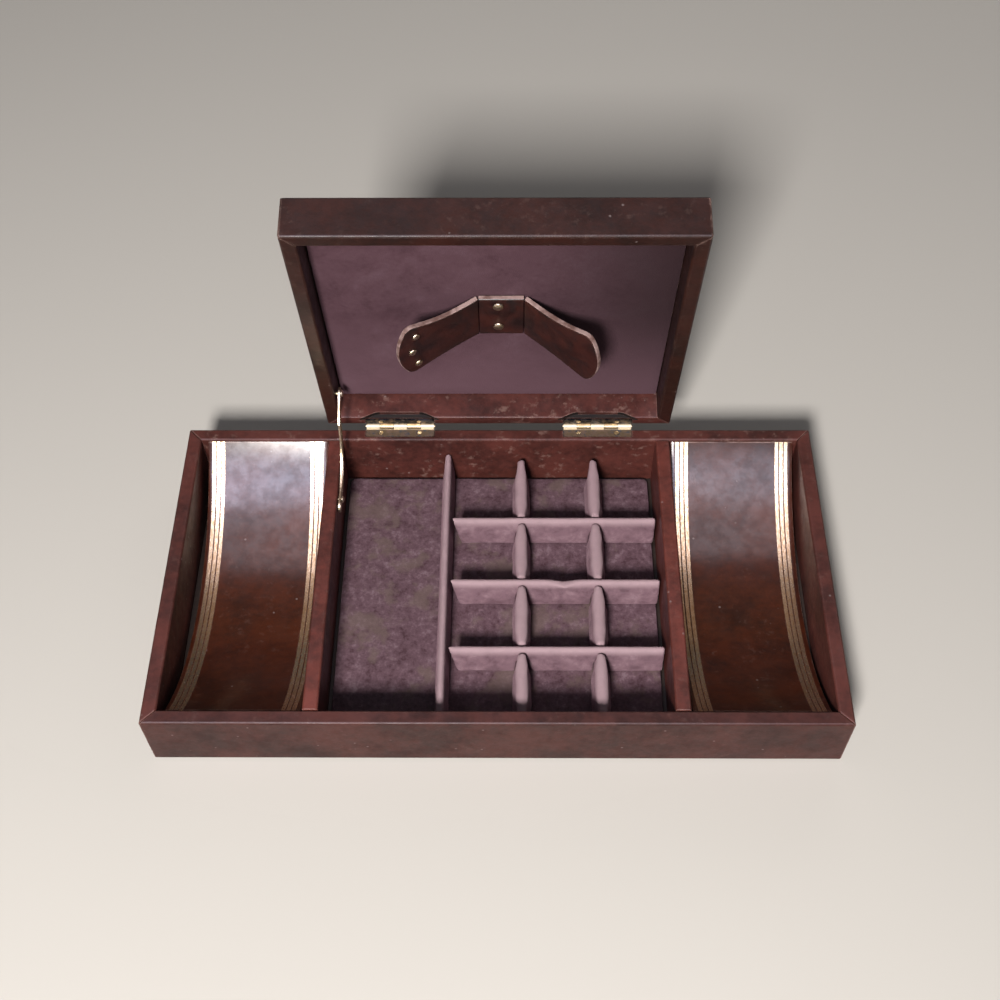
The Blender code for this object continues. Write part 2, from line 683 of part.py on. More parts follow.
def stay_pin(name, spot, face, wall, parent):
    """A domed pin along X, driven into the wall behind the arm, with its head inside the arm."""
    depth = STAY_INNER_X - face + STAY_PIN_DEPTH
    spot = (STAY_INNER_X, *spot)
    across = (0.0, math.pi / 2, 0.0)
    bm = domed_pin(STAY_PIN_HEAD_RADIUS, STAY_PIN_HEAD_HEIGHT, STAY_PIN_RADIUS, depth, STAY_PIN_PLAY)
    place(name, bm, "brass", spot, across, parent)
    hole = tool(f"{name}_hole", pin_hole(STAY_PIN_RADIUS, depth), spot, across, parent)
    combine(wall, hole, "DIFFERENCE")


def stay(lid, lid_left_wall, left_partition):
    lid_pin, base_pin = stay_pins()
    stay_arm(lid)
    stay_pin("stay_lid_pin", lid_pin, WALL_THICKNESS - LID_WIDTH / 2, lid_left_wall, lid)
    base_spot = (HINGE_AXIS.y + base_pin.x, HINGE_AXIS.z + base_pin.y)
    stay_pin("stay_base_pin", base_spot, -PARTITION_INNER_X, left_partition, None)


# Leather keeper


def rivet(name, spot, radius, height, depth, parent, pierced):
    """A domed rivet through the pieces that it holds, with its head facing down when the lid is shut."""
    shank = radius * RIVET_SHANK_SHARE
    over = (math.pi, 0.0, 0.0)
    place(name, domed_pin(radius, height, shank, depth, FIT_GAP), "brass", spot, over, parent)
    hole = tool(f"{name}_hole", pin_hole(shank, depth), spot, over, parent)
    for piece in pierced:
        combine(piece, hole, "DIFFERENCE")


def strap_plate(lid, lining, panel):
    """The keeper's middle piece, riveted through the lining into the panel."""
    y, face = from_axis(STRAP_MIDDLE_Y, STRAP_FACE)
    half_length = STRAP_PLATE_LENGTH / 2 - FIT_GAP / 2
    half_width = STRAP_WIDTH / 2
    bm = block((-half_length, -half_width, 0.0), (half_length, half_width, STRAP_THICKNESS))
    round_edges(bm, lambda edge: runs_along(edge, 0), STRAP_ROUND)
    plate = place("strap_plate", bm, "strap_leather", (STRAP_MIDDLE_X, y, face), parent=lid)
    for name, way in (("strap_rivet_upper", -1), ("strap_rivet_lower", 1)):
        rivet_y = y + PLATE_RIVET_Y + way * PLATE_RIVET_SPACING / 2
        spot = (STRAP_MIDDLE_X + PLATE_RIVET_X, rivet_y, face)
        pierced = (plate, lining, panel)
        rivet(name, spot, PLATE_RIVET_RADIUS, PLATE_RIVET_HEIGHT, PLATE_RIVET_DEPTH, lid, pierced)


def wing_outline():
    """Outline of a wing as (s, v): from the crease it widens in a curve to a bowed end."""
    half, end_half = STRAP_WIDTH / 2, WING_END_WIDTH / 2
    start = FIT_GAP / 2
    side = []
    for i in range(WING_SIDE_STEPS + 1):
        s = start + (WING_SIDE_LENGTH - start) * i / WING_SIDE_STEPS
        side.append((s, half + (end_half - half) * (s / WING_SIDE_LENGTH) ** 2))
    radius = (end_half**2 + WING_END_BOW**2) / (2 * WING_END_BOW)
    sweep = math.asin(end_half / radius)
    end = []
    for i in range(1, WING_END_STEPS):
        turn = sweep * (1 - 2 * i / WING_END_STEPS)
        end.append((WING_LENGTH - radius + radius * math.cos(turn), radius * math.sin(turn)))
    return side + end + [(s, -v) for s, v in reversed(side)]


def strap_wing(name, side, degrees, lid):
    """A wing of the keeper, folded away from the lining about its crease. Returns the wing and its pivot."""
    y, face = from_axis(STRAP_MIDDLE_Y, STRAP_FACE)
    crease = (STRAP_MIDDLE_X + side * STRAP_PLATE_LENGTH / 2, y, face)
    crease_pivot = pivot(f"{name}_pivot", crease, (0.0, side * math.radians(degrees), 0.0), lid)
    bm = prism([(side * s, v) for s, v in wing_outline()], "Z", 0.0, STRAP_THICKNESS)
    at_corner = lambda edge: runs_along(edge, 2) and abs(level(edge, 1)) > WING_END_WIDTH / 2 - FIT_GAP
    round_edges(bm, at_corner, WING_CORNER, 3)
    off_crease = lambda edge: not runs_along(edge, 2) and abs(level(edge, 0)) > FIT_GAP
    round_edges(bm, off_crease, STRAP_ROUND, 1)
    return place(name, bm, "strap_leather", parent=crease_pivot), crease_pivot


def keeper(lid, lining, panel):
    """The plate with a wing on each side. The left wing carries three small rivets near its end."""
    strap_plate(lid, lining, panel)
    strap_wing("strap_wing_right", 1, RIGHT_WING_DEGREES, lid)
    wing, wing_pivot = strap_wing("strap_wing_left", -1, LEFT_WING_DEGREES, lid)
    for number, way in enumerate((-1, 0, 1), 1):
        s = WING_LENGTH - WING_RIVET_FROM_END - WING_RIVET_BOW * way**2
        spot = (-s, WING_RIVET_Y + way * WING_RIVET_SPACING, 0.0)
        name = f"wing_rivet_{number}"
        rivet(name, spot, WING_RIVET_RADIUS, WING_RIVET_HEIGHT, STRAP_THICKNESS, wing_pivot, (wing,))


def main():
    clear_scene()
    underside()
    walls = base_walls()
    left_partition = partition("left_partition", -1)
    partition("right_partition", 1)
    floor_pad()
    trough("left_trough", -1, LEFT_TROUGH_INNER_GAP, LEFT_TROUGH_OUTER_GAP)
    trough("right_trough", 1, RIGHT_TROUGH_INNER_GAP, RIGHT_TROUGH_OUTER_GAP)
    long_divider()
    divider_grid()
    lid = pivot("lid_pivot", HINGE_AXIS, (LID_TURN, 0.0, 0.0))
    skirts = lid_walls(lid)
    panel = lid_board("lid_panel", LID_PANEL_FOOT, LID_TOP, lid, "leather")
    lining = lid_board("lid_lining", LINING_FACE, LINING_FACE + LID_LINING_THICKNESS, lid, "velvet")
    for side in (-1, 1):
        hinge(side, walls["back"], lid, skirts["back"])
    stay(lid, skirts["left"], left_partition)
    keeper(lid, lining, panel)


main()
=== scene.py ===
"""Valet box: the leather, velvet, felt and brass that dress the packed frame, laid out as an add-on."""

import json
import math

import bmesh
import bpy
from bpy.props import FloatProperty, FloatVectorProperty, PointerProperty
from mathutils import Matrix, Vector, noise

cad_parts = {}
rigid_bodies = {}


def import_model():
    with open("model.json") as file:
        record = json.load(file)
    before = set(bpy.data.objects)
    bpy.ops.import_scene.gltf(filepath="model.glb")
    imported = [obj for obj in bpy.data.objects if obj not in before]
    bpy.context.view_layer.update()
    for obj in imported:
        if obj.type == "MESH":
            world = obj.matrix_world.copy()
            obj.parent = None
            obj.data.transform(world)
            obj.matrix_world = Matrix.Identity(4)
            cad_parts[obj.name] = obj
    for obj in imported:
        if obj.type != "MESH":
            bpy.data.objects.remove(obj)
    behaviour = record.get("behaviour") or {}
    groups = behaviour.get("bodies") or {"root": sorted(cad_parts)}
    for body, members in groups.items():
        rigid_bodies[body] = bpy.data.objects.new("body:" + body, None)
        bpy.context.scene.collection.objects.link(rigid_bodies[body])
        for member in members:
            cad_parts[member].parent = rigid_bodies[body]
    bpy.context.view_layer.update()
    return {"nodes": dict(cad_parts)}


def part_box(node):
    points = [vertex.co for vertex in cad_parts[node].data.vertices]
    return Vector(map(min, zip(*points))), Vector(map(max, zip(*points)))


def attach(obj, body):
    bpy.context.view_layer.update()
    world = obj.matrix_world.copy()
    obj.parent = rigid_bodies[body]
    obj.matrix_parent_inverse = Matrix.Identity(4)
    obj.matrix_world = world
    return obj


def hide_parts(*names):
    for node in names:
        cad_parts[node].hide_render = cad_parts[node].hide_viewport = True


bl_info = {
    "name": "Valet Box",
    "version": (1, 0, 0),
    "blender": (4, 5, 0),
    "location": "View3D > Sidebar > Valet Box",
    "description": "Dresses the valet box's frame in leather, velvet, felt and brass",
    "category": "Object",
}

for startup_thing in list(bpy.data.objects):
    bpy.data.objects.remove(startup_thing)
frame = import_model()
NODES = frame["nodes"]

MM = 0.001
# Points of a CAD node's loose triangles that are nearer than this are one point.
SAME_POINT = 0.002 * MM
# In the frame's rest pose, with the lid open: the way up along its lining, and the way that its rim faces.
LID_UP = Vector((0.0, -0.207912, 0.978148))
RIM_OUT = Vector((0.0, -0.978148, -0.207912))


# ---------------------------------------------------------------- colours and nodes


def colour(code):
    """A scene-linear RGBA colour from an sRGB hex code."""
    shares = [int(code[place:place + 2], 16) / 255 for place in (1, 3, 5)]
    linear = [s / 12.92 if s <= 0.04045 else ((s + 0.055) / 1.055) ** 2.4 for s in shares]
    return (*linear, 1.0)


def per_mm(size):
    """The texture scale whose pattern repeats about once in this many millimetres."""
    return 1 / (size * MM)


def add(tree, kind, settings=None, **sockets):
    """Adds a node, with its settings, and its sockets by name as values or links. A name's __ stands for a space."""
    made = tree.nodes.new(kind)
    for key, value in (settings or {}).items():
        setattr(made, key, value)
    for key, value in sockets.items():
        key = key.replace("__", " ")
        socket = made.inputs[int(key[1:])] if key[0] == "i" and key[1:].isdigit() else made.inputs[key]
        if isinstance(value, bpy.types.NodeSocket):
            tree.links.new(value, socket)
        else:
            socket.default_value = value
    return made


def new_material(name):
    """An empty material, its tree and its Object coordinates."""
    material = bpy.data.materials.new(name)
    material.use_nodes = True
    tree = material.node_tree
    tree.nodes.clear()
    return material, tree, tree.nodes.new("ShaderNodeTexCoord").outputs["Object"]


def shade(tree, fixed, **linked):
    """The surface shader: fixed holds its sockets that are the same all over, linked those that vary."""
    shader = tree.nodes.new("ShaderNodeBsdfPrincipled")
    for name, value in fixed.items():
        shader.inputs[name].default_value = value
    for name, value in linked.items():
        tree.links.new(value, shader.inputs[name.replace("__", " ")])
    output = tree.nodes.new("ShaderNodeOutputMaterial")
    tree.links.new(shader.outputs["BSDF"], output.inputs["Surface"])


def cloud(tree, where, size, detail=3.0, rough=0.55, twist=0.0):
    """Soft noise of this size in millimetres, from 0 to 1."""
    return add(tree, "ShaderNodeTexNoise", None, Vector=where, Scale=per_mm(size), Detail=detail,
               Roughness=rough, Distortion=twist).outputs["Fac"]


def between(tree, value, low, high, to_low=0.0, to_high=1.0):
    """The value remapped smoothly from low..high."""
    return add(tree, "ShaderNodeMapRange", {"interpolation_type": "SMOOTHSTEP"}, Value=value, i1=low, i2=high,
               i3=to_low, i4=to_high).outputs["Result"]


def mixed(tree, factor, first, second, blend="MIX"):
    """Two colours mixed by a factor."""
    return add(tree, "ShaderNodeMix", {"data_type": "RGBA", "blend_type": blend}, i0=factor, i6=first,
               i7=second).outputs[2]


def sums(tree, operation, first, second):
    """One sum of two numbers."""
    return add(tree, "ShaderNodeMath", {"operation": operation}, i0=first, i1=second).outputs[0]


def bumped(tree, height, depth, strength=1.0, over=None):
    """A bump of this depth in millimetres, laid over another where one is given."""
    links = {"Height": height, "Distance": depth * MM, "Strength": strength}
    if over is not None:
        links["Normal"] = over
    return add(tree, "ShaderNodeBump", None, **links).outputs["Normal"]


def edge_wear_and_highlight(tree, where, radius, ragged):
    """Near 1 along the outer edges, broken up by noise: where hands and cloth have worn the finish paler, and a
    painted highlight where the edges catch the light.
    """
    soft = add(tree, "ShaderNodeBevel", {"samples": 4}, Radius=radius * MM).outputs["Normal"]
    true = tree.nodes.new("ShaderNodeNewGeometry").outputs["True Normal"]
    facing = add(tree, "ShaderNodeVectorMath", {"operation": "DOT_PRODUCT"}, i0=soft, i1=true).outputs["Value"]
    bent = between(tree, facing, 0.985, 0.80)
    return sums(tree, "MULTIPLY", bent, between(tree, cloud(tree, where, ragged, 5.0, 0.7), 0.30, 0.62))


# ---------------------------------------------------------------- finishes


def glazed_calf(name, deep, warm, worn, dust, gloss=0.44, grain=1.1, grain_depth=0.035, glaze=(0.02, 0.08),
                shine=0.30, scuffed=0.06):
    """Glazed calf over board, vegetable tanned and rolled: close shallow grain, a soft shine that breaks up over the
    pores, red-brown glowing through near-black where the glaze is thin, edges that are worn paler and carry a painted
    highlight, and specks of dust."""
    material, tree, where = new_material(name)
    patina = cloud(tree, where, 26, 3.0, 0.55)
    mottle = cloud(tree, where, 3.2, 4.0, 0.65)
    tone = sums(tree, "ADD", sums(tree, "MULTIPLY", patina, 0.65), sums(tree, "MULTIPLY", mottle, 0.35))
    base = mixed(tree, between(tree, tone, 0.30, 0.68), deep, warm)
    # Edges mixed towards the worn colour: partly real wear, partly a painted highlight along the edges.
    paled_and_highlit = edge_wear_and_highlight(tree, where, 1.1, 9)
    base = mixed(tree, sums(tree, "MULTIPLY", paled_and_highlit, 0.8), base, worn)
    speck = add(tree, "ShaderNodeTexVoronoi", {"feature": "F1"}, Vector=where, Scale=per_mm(6.5), Randomness=1.0)
    dot = between(tree, speck.outputs["Distance"], 0.13, 0.05)
    chosen = between(tree, add(tree, "ShaderNodeSeparateColor", None, Color=speck.outputs["Color"]).outputs[0],
                     0.70, 0.78)
    dusty = sums(tree, "MULTIPLY", dot, chosen)
    base = mixed(tree, sums(tree, "MULTIPLY", dusty, 0.35), base, dust)
    smears = between(tree, cloud(tree, where, 4.2, 4.0, 0.62), 0.54, 0.70)
    smears = sums(tree, "MULTIPLY", smears, between(tree, cloud(tree, where, 21, 3.0), 0.42, 0.58))
    base = mixed(tree, sums(tree, "MULTIPLY", smears, scuffed), base, worn)
    haze = between(tree, cloud(tree, where, 9, 5.0, 0.7), 0.35, 0.70)
    rough = sums(tree, "ADD", sums(tree, "MULTIPLY", haze, 0.13), gloss)
    rough = sums(tree, "ADD", rough, sums(tree, "MULTIPLY", paled_and_highlit, 0.16))
    pores = add(tree, "ShaderNodeTexVoronoi", {"feature": "SMOOTH_F1"}, Vector=where, Scale=per_mm(grain),
                Smoothness=0.35, Randomness=1.0).outputs["Distance"]
    swell = bumped(tree, cloud(tree, where, 14, 2.0), 0.35, 0.6)
    normal = bumped(tree, pores, grain_depth, 0.8, over=swell)
    coat = between(tree, cloud(tree, where, 7, 4.0, 0.65), 0.34, 0.66, *glaze)
    shade(tree, {"IOR": 1.46, "Specular IOR Level": shine, "Coat Roughness": 0.2, "Coat IOR": 1.5},
          Base__Color=base, Roughness=rough, Normal=normal, Coat__Weight=coat)
    return material


def gold_leaf(name, bright, aged, bared):
    """Gold leaf pressed into leather with a hot wheel: warm metal that is thin, a little cloudy, and rubbed through to
    the leather in small flecks."""
    material, tree, where = new_material(name)
    streaks = cloud(tree, add(tree, "ShaderNodeMapping", None, Vector=where, Scale=(1.0, 0.25, 0.25)).outputs[0],
                    0.7, 4.0, 0.7)
    flecks = between(tree, cloud(tree, where, 1.3, 5.0, 0.75), 0.62, 0.70)
    base = mixed(tree, between(tree, streaks, 0.35, 0.65), bright, aged)
    base = mixed(tree, flecks, base, bared)
    rough = between(tree, streaks, 0.3, 0.7, 0.24, 0.36)
    shade(tree, {}, Base__Color=base, Metallic=between(tree, flecks, 0.0, 1.0, 0.95, 0.0), Roughness=rough,
          Normal=bumped(tree, streaks, 0.05, 0.6))
    return material


def crushed_velvet(name, deep, mid, pale, fade, nap, sheen, speckle, paled_and_highlit=None, painted_shade_span=None):
    """Rayon velvet with its pile crushed by years of use: dull mauve that turns pale or plum with the lie of the pile,
    cloudy from patch to patch, with no shine of its own and a bloom at glancing angles. speckle is the share of its
    small marks. The last two arguments each give a span and a colour: a span of heights over which the colour is
    painted paler, which is painted light, and a span of x over which it is painted darker, which is painted shade."""
    material, tree, where = new_material(name)
    patch = cloud(tree, where, nap, 5.0, 0.66, 0.25)
    fine = cloud(tree, where, 2.4, 4.0, 0.7)
    pile = cloud(tree, where, 0.45, 2.0, 0.6)
    lie = sums(tree, "ADD", sums(tree, "MULTIPLY", patch, 1 - speckle), sums(tree, "MULTIPLY", fine, speckle))
    base = mixed(tree, between(tree, lie, 0.34, 0.54), deep, mid)
    base = mixed(tree, between(tree, lie, 0.50, 0.68), base, pale)
    faded = between(tree, cloud(tree, where, nap * 1.8, 4.0, 0.6), 0.50, 0.64, 0.0, 0.6)
    base = mixed(tree, faded, base, fade)
    place = add(tree, "ShaderNodeSeparateXYZ", None, Vector=where)
    # Painted shade: over the span of x, the colour darkens towards the dark colour.
    if painted_shade_span:
        start, stop, dark = painted_shade_span
        across = sums(tree, "ADD", place.outputs["X"], sums(tree, "MULTIPLY", patch, 40 * MM))
        away = between(tree, across, start, stop)
        base = mixed(tree, sums(tree, "MULTIPLY", away, 0.85), base, dark)
    # Painted light: over the span of heights, the colour turns towards the paler colour.
    if paled_and_highlit:
        low, high, light = paled_and_highlit
        worn = between(tree, place.outputs["Z"], low, high)
        base = mixed(tree, sums(tree, "MULTIPLY", worn, 0.7), base, light)
    laid = bumped(tree, patch, 0.55, 0.55)
    furred = bumped(tree, pile, 0.28, 0.75, over=laid)
    shade(tree, {"Roughness": 0.92, "Specular IOR Level": 0.12, "Sheen Weight": sheen, "Sheen Roughness": 0.38,
                 "Sheen Tint": pale}, Base__Color=base, Normal=furred)
    return material


def strap_hide(name, deep, warm, gloss=0.34):
    """Thick bridle leather for the keeper, waxed nearly black-brown: smooth, closely grained, with faint creases."""
    material, tree, where = new_material(name)
    tone = between(tree, cloud(tree, where, 11, 4.0, 0.6, 0.5), 0.32, 0.68)
    base = mixed(tree, tone, deep, warm)
    grain = add(tree, "ShaderNodeTexVoronoi", {"feature": "SMOOTH_F1"}, Vector=where, Scale=per_mm(0.9),
                Smoothness=0.3).outputs["Distance"]
    creases = cloud(tree, add(tree, "ShaderNodeMapping", None, Vector=where, Scale=(2.2, 0.7, 0.7)).outputs[0],
                    5.0, 5.0, 0.7)
    normal = bumped(tree, grain, 0.05, 0.7, over=bumped(tree, creases, 0.25, 0.5))
    rough = between(tree, cloud(tree, where, 6, 3.0), 0.3, 0.7, gloss, gloss + 0.14)
    shade(tree, {"IOR": 1.5, "Coat Weight": 0.12, "Coat Roughness": 0.3}, Base__Color=base, Roughness=rough,
          Normal=normal)
    return material


def cut_edge(name, pale, stained):
    """The cut side of the strap: bare fibrous hide, paler than its face, in thin layers and a little dirty."""
    material, tree, where = new_material(name)
    fibre = cloud(tree, where, 1.2, 5.0, 0.7)
    base = mixed(tree, between(tree, cloud(tree, where, 7, 3.0), 0.40, 0.68), pale, stained)
    shade(tree, {"Specular IOR Level": 0.3}, Base__Color=base,
          Roughness=between(tree, fibre, 0.3, 0.7, 0.62, 0.80), Normal=bumped(tree, fibre, 0.15, 0.7))
    return material


def lacquered_brass(name, bright, dull, spots, tarnish=(0.62, 0.76), gloss=0.28, knuckle=None, metal=1.0):
    """Stamped brass under old lacquer: warm, worn bright on the high places, with brown and bluish tarnish where the
    lacquer has gone, and fine scratches along it. knuckle is a hinge's axis in y and z, how far round it turning has
    kept the brass bright, and the colour there."""
    material, tree, where = new_material(name)
    age = cloud(tree, where, 5.0, 5.0, 0.65, 0.6)
    base = mixed(tree, between(tree, age, 0.36, 0.60), bright, dull)
    stain = between(tree, cloud(tree, where, 3.2, 5.0, 0.7), *tarnish)
    base = mixed(tree, stain, base, spots)
    if knuckle:
        y, z, reach, polished = knuckle
        off = add(tree, "ShaderNodeVectorMath", {"operation": "SUBTRACT"}, i0=where, i1=(0.0, y, z)).outputs[0]
        off = add(tree, "ShaderNodeVectorMath", {"operation": "MULTIPLY"}, i0=off, i1=(0.0, 1.0, 1.0)).outputs[0]
        away = add(tree, "ShaderNodeVectorMath", {"operation": "LENGTH"}, i0=off).outputs["Value"]
        base = mixed(tree, between(tree, away, reach * 1.25, reach * 1.02), base, polished)
    scratch = cloud(tree, add(tree, "ShaderNodeMapping", None, Vector=where, Scale=(0.15, 1.0, 1.0)).outputs[0],
                    0.25, 3.0, 0.7)
    rough = sums(tree, "ADD", between(tree, age, 0.3, 0.7, gloss, gloss + 0.14), sums(tree, "MULTIPLY", stain, 0.2))
    shade(tree, {"Metallic": metal}, Base__Color=base, Roughness=rough, Normal=bumped(tree, scratch, 0.02, 0.5))
    return material


def pressed_felt(name, deep, pale):
    """Pressed wool felt: matt, with short tangled fibres and no weave."""
    material, tree, where = new_material(name)
    tangle = cloud(tree, where, 0.8, 6.0, 0.75, 1.5)
    base = mixed(tree, between(tree, tangle, 0.35, 0.65), deep, pale)
    shade(tree, {"Roughness": 0.97, "Specular IOR Level": 0.1, "Sheen Weight": 0.35, "Sheen Roughness": 0.5},
          Base__Color=base, Normal=bumped(tree, tangle, 0.35, 0.8))
    return material


def hardboard(name, deep, pale):
    """Pressed hardboard, seen only at its edge: brown, dull, with long crushed fibres."""
    material, tree, where = new_material(name)
    fibre = cloud(tree, add(tree, "ShaderNodeMapping", None, Vector=where, Scale=(0.2, 1.0, 3.0)).outputs[0],
                  1.5, 5.0, 0.7)
    shade(tree, {"Specular IOR Level": 0.3}, Base__Color=mixed(tree, between(tree, fibre, 0.3, 0.7), deep, pale),
          Roughness=between(tree, fibre, 0.3, 0.7, 0.60, 0.75), Normal=bumped(tree, fibre, 0.1, 0.6))
    return material


# ---------------------------------------------------------------- sizes and colours that a user would change


def tint(name, description, code):
    """A colour that a user can change, with its default as an sRGB hex code."""
    return FloatVectorProperty(name=name, description=description, subtype="COLOR", size=4, min=0.0, max=1.0,
                               default=colour(code))


def length(name, description, millimetres):
    """A length that a user can change."""
    return FloatProperty(name=name, description=description, unit="LENGTH", default=millimetres * MM, min=0.0,
                         precision=5)


class ValetBoxLeather(bpy.types.PropertyGroup):
    """The leather of the walls, lid and side troughs."""

    deep: tint("Wall, deep", "Where the glaze is thick", "#371c18")
    warm: tint("Wall, warm", "Where the red shows through the glaze", "#5f322c")
    # The front wall's colours are the walls' leather painted darker: painted shade on the front face.
    front_shaded_deep: tint("Front, deep", "Where the glaze is thick", "#2e1613")
    front_shaded_warm: tint("Front, warm", "Where the red shows through the glaze", "#512b26")
    red_deep: tint("Partition, deep", "Where the glaze is thick", "#46231e")
    red_warm: tint("Partition, warm", "Where the red shows through the glaze", "#733a32")
    lid_deep: tint("Lid, deep", "Where the glaze is thick", "#1c0c08")
    lid_warm: tint("Lid, warm", "Where the red shows through the glaze", "#35170f")
    # The worn colour along the edges is partly real wear, partly a painted highlight.
    worn: tint("Wall, worn", "Rubbed edges", "#ad8f86")
    trough_deep: tint("Trough, deep", "Darker clouds of the troughs", "#2b1109")
    trough_warm: tint("Trough, warm", "Lighter clouds of the troughs", "#4b200e")
    dust: tint("Dust", "Specks of dust and bloom", "#a89a9a")
    gold: tint("Gold", "Gold leaf of the tooled lines", "#e9dac0")
    gold_aged: tint("Gold, aged", "Dull gold leaf", "#bd9f78")
    line_width: length("Tooled line", "Width of one gold line", 2.1)
    line_gap: length("Line gap", "Leather between two gold lines", 0.5)
    line_depth: length("Line depth", "How far a line is pressed in", 0.12)
    edge_round: length("Edge", "Round of the troughs' long edges", 0.8)
    relief_deep: length("Relief depth", "How far the arch goes back from the rim", 3.6)
    relief_down: length("Relief drop", "How far the arch goes into the board", 2.6)
    board_round: length("Board edge", "Round that the leather gives the boards' edges", 0.55)


class ValetBoxVelvet(bpy.types.PropertyGroup):
    """The velvet of the floor pad, lining and dividing strips."""

    deep: tint("Pad, deep", "Pile that leans away", "#4b353c")
    mid: tint("Pad, middle", "Upright pile", "#68505a")
    pale: tint("Pad, pale", "Pile that leans to the light", "#86707a")
    fade: tint("Pad, faded", "Sun-faded patches", "#70605b")
    lining_deep: tint("Lining, deep", "Pile that leans away", "#4c353d")
    lining_mid: tint("Lining, middle", "Upright pile", "#5c434c")
    # Painted light: the lining turns to this colour towards the hinges.
    lining_pale: tint("Lining, pale", "Towards the hinges", "#745863")
    # Painted shade: the lining turns to this colour over its right side.
    lining_painted_shade: tint("Lining, dark", "Pile brushed away from the light", "#2c1f22")
    strip_deep: tint("Strip, deep", "Pile that leans away", "#6f5660")
    strip_mid: tint("Strip, middle", "Upright pile", "#866a75")
    strip_pale: tint("Strip, pale", "Pile that leans to the light", "#9b808a")
    # The ridge colour is a painted highlight on the strips' tops.
    strip_ridge_highlight: tint("Strip, ridge", "Handled ridges", "#bca2aa")
    strip_swell: length("Strip swell", "How far a strip's sides fill out between crossings", 0.6)
    pad_swell: length("Pad swell", "How far a pad crowns", 0.35)
    voxel: length("Cloth grid", "Grid of the swelled velvet", 1.0)


class ValetBoxKeeper(bpy.types.PropertyGroup):
    """The leather keeper in the lid."""

    face_deep: tint("Face, deep", "Waxed face", "#1c0d0a")
    face_warm: tint("Face, warm", "Red-brown clouds", "#3b1810")
    edge_pale: tint("Cut edge", "Bare hide of the cut edges", "#a98f8c")
    edge_stained: tint("Cut edge, stained", "Dirty hide of the cut edges", "#6e524c")
    edge_round: length("Edge", "Round of the cut edges", 0.4)
    waist: length("Waist", "How far a wing's upper edge is cut down in the middle", 2.2)


class ValetBoxBrass(bpy.types.PropertyGroup):
    """Hinges, stay, screws and rivets."""

    bright: tint("Bright", "Worn high places", "#ddd0b6")
    dull: tint("Dull", "Lacquered brass", "#b3a283")
    spots: tint("Tarnish", "Brown tarnish", "#6b5a44")
    leaf_spots: tint("Leaf tarnish", "Bluish tarnish of the leaves", "#4a4a50")
    leaf_dark: tint("Leaf, dark", "Where the lid's leaves have gone black", "#17181a")
    leaf_dirt: tint("Leaf, dirty", "Dull brass of the base's leaves", "#7d685c")
    edge_ease: length("Edge", "Round of stamped edges", 0.18)
    rivet_bright: tint("Rivet", "Nickelled rivets", "#c9b9a6")


class ValetBoxStage(bpy.types.PropertyGroup):
    """Floor, light and camera."""

    floor: tint("Floor", "Pale studio floor", "#d3d0cc")
    bounce: tint("Floor bounce", "What the floor throws back at the object", "#6e6a66")
    key: FloatProperty(name="Key", description="Power of the main lamp in watts", default=30.0, min=0.0)
    back: FloatProperty(name="Back", description="Power of the lamp behind in watts", default=1.6, min=0.0)
    window: FloatProperty(name="Window", description="Power of the bright gloss panel in watts", default=22.0, min=0.0)
    side: FloatProperty(name="Side", description="Power of the right gloss panel in watts", default=5.0, min=0.0)
    ceiling: FloatProperty(name="Ceiling", description="Power of the dim gloss panel in watts", default=12.0, min=0.0)
    far: FloatProperty(name="Far", description="Power of the warm gloss panel behind in watts", default=0.8, min=0.0)
    air: FloatProperty(name="Room", description="Strength of the room's own light", default=0.075, min=0.0)


# ---------------------------------------------------------------- making pieces


def span(node):
    """A node's lowest and highest corners."""
    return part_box(node)


def middle(node):
    """The middle of a node's box."""
    low, high = span(node)
    return (low + high) / 2


def dress(material, *nodes):
    """Gives CAD nodes a material."""
    for name in nodes:
        data = NODES[name].data
        data.materials.clear()
        data.materials.append(material)


def eased(made, radius, segments):
    """Eases an object's sharp edges: its loose triangles are joined, flat ones merged, and the edges rounded."""
    made.modifiers.new("weld", "WELD").merge_threshold = SAME_POINT
    flat = made.modifiers.new("flat", "DECIMATE")
    flat.decimate_type, flat.angle_limit = "DISSOLVE", math.radians(0.5)
    ease = made.modifiers.new("ease", "BEVEL")
    ease.width, ease.segments = radius, segments
    ease.limit_method, ease.angle_limit = "ANGLE", math.radians(35)
    ease.harden_normals = True
    ease.material = 0


def piece(name, bm, materials, body, stands_for=(), sharp=math.radians(40)):
    """A finished mesh on its body, shaded smooth up to the sharp angle, in place of the CAD nodes it stands for."""
    bmesh.ops.recalc_face_normals(bm, faces=bm.faces[:])
    for edge in bm.edges:
        edge.smooth = not (len(edge.link_faces) == 2 and edge.calc_face_angle() > sharp)
    for face in bm.faces:
        face.smooth = True
    mesh = bpy.data.meshes.new(name)
    bm.to_mesh(mesh)
    bm.free()
    made = bpy.data.objects.new(name, mesh)
    bpy.context.scene.collection.objects.link(made)
    for material in materials:
        mesh.materials.append(material)
    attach(made, body)
    if stands_for:
        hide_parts(*stands_for)
    return made


def merged_copy(node):
    """A bmesh of a CAD node with its loose triangles joined."""
    bm = bmesh.new()
    bm.from_mesh(NODES[node].data)
    bmesh.ops.remove_doubles(bm, verts=bm.verts, dist=SAME_POINT)
    return bm


def smooth_step(value, start, rise):
    """From 0 at the start to 1 at a rise past it, eased at both ends."""
    share = min(max((value - start) / rise, 0.0), 1.0)
    return share * share * (3 - 2 * share)


# ---------------------------------------------------------------- operators


# An arch's width over its leaf's, the share of it that is flat, how far the cutter stands out of the board, and how
# far past the cut its faces are looked for.
ARCH_WIDTH, ARCH_FLAT = 1.16, 0.52
CUTTER_STANDS_OUT = 1 * MM
CUT_MARGIN = 0.1 * MM


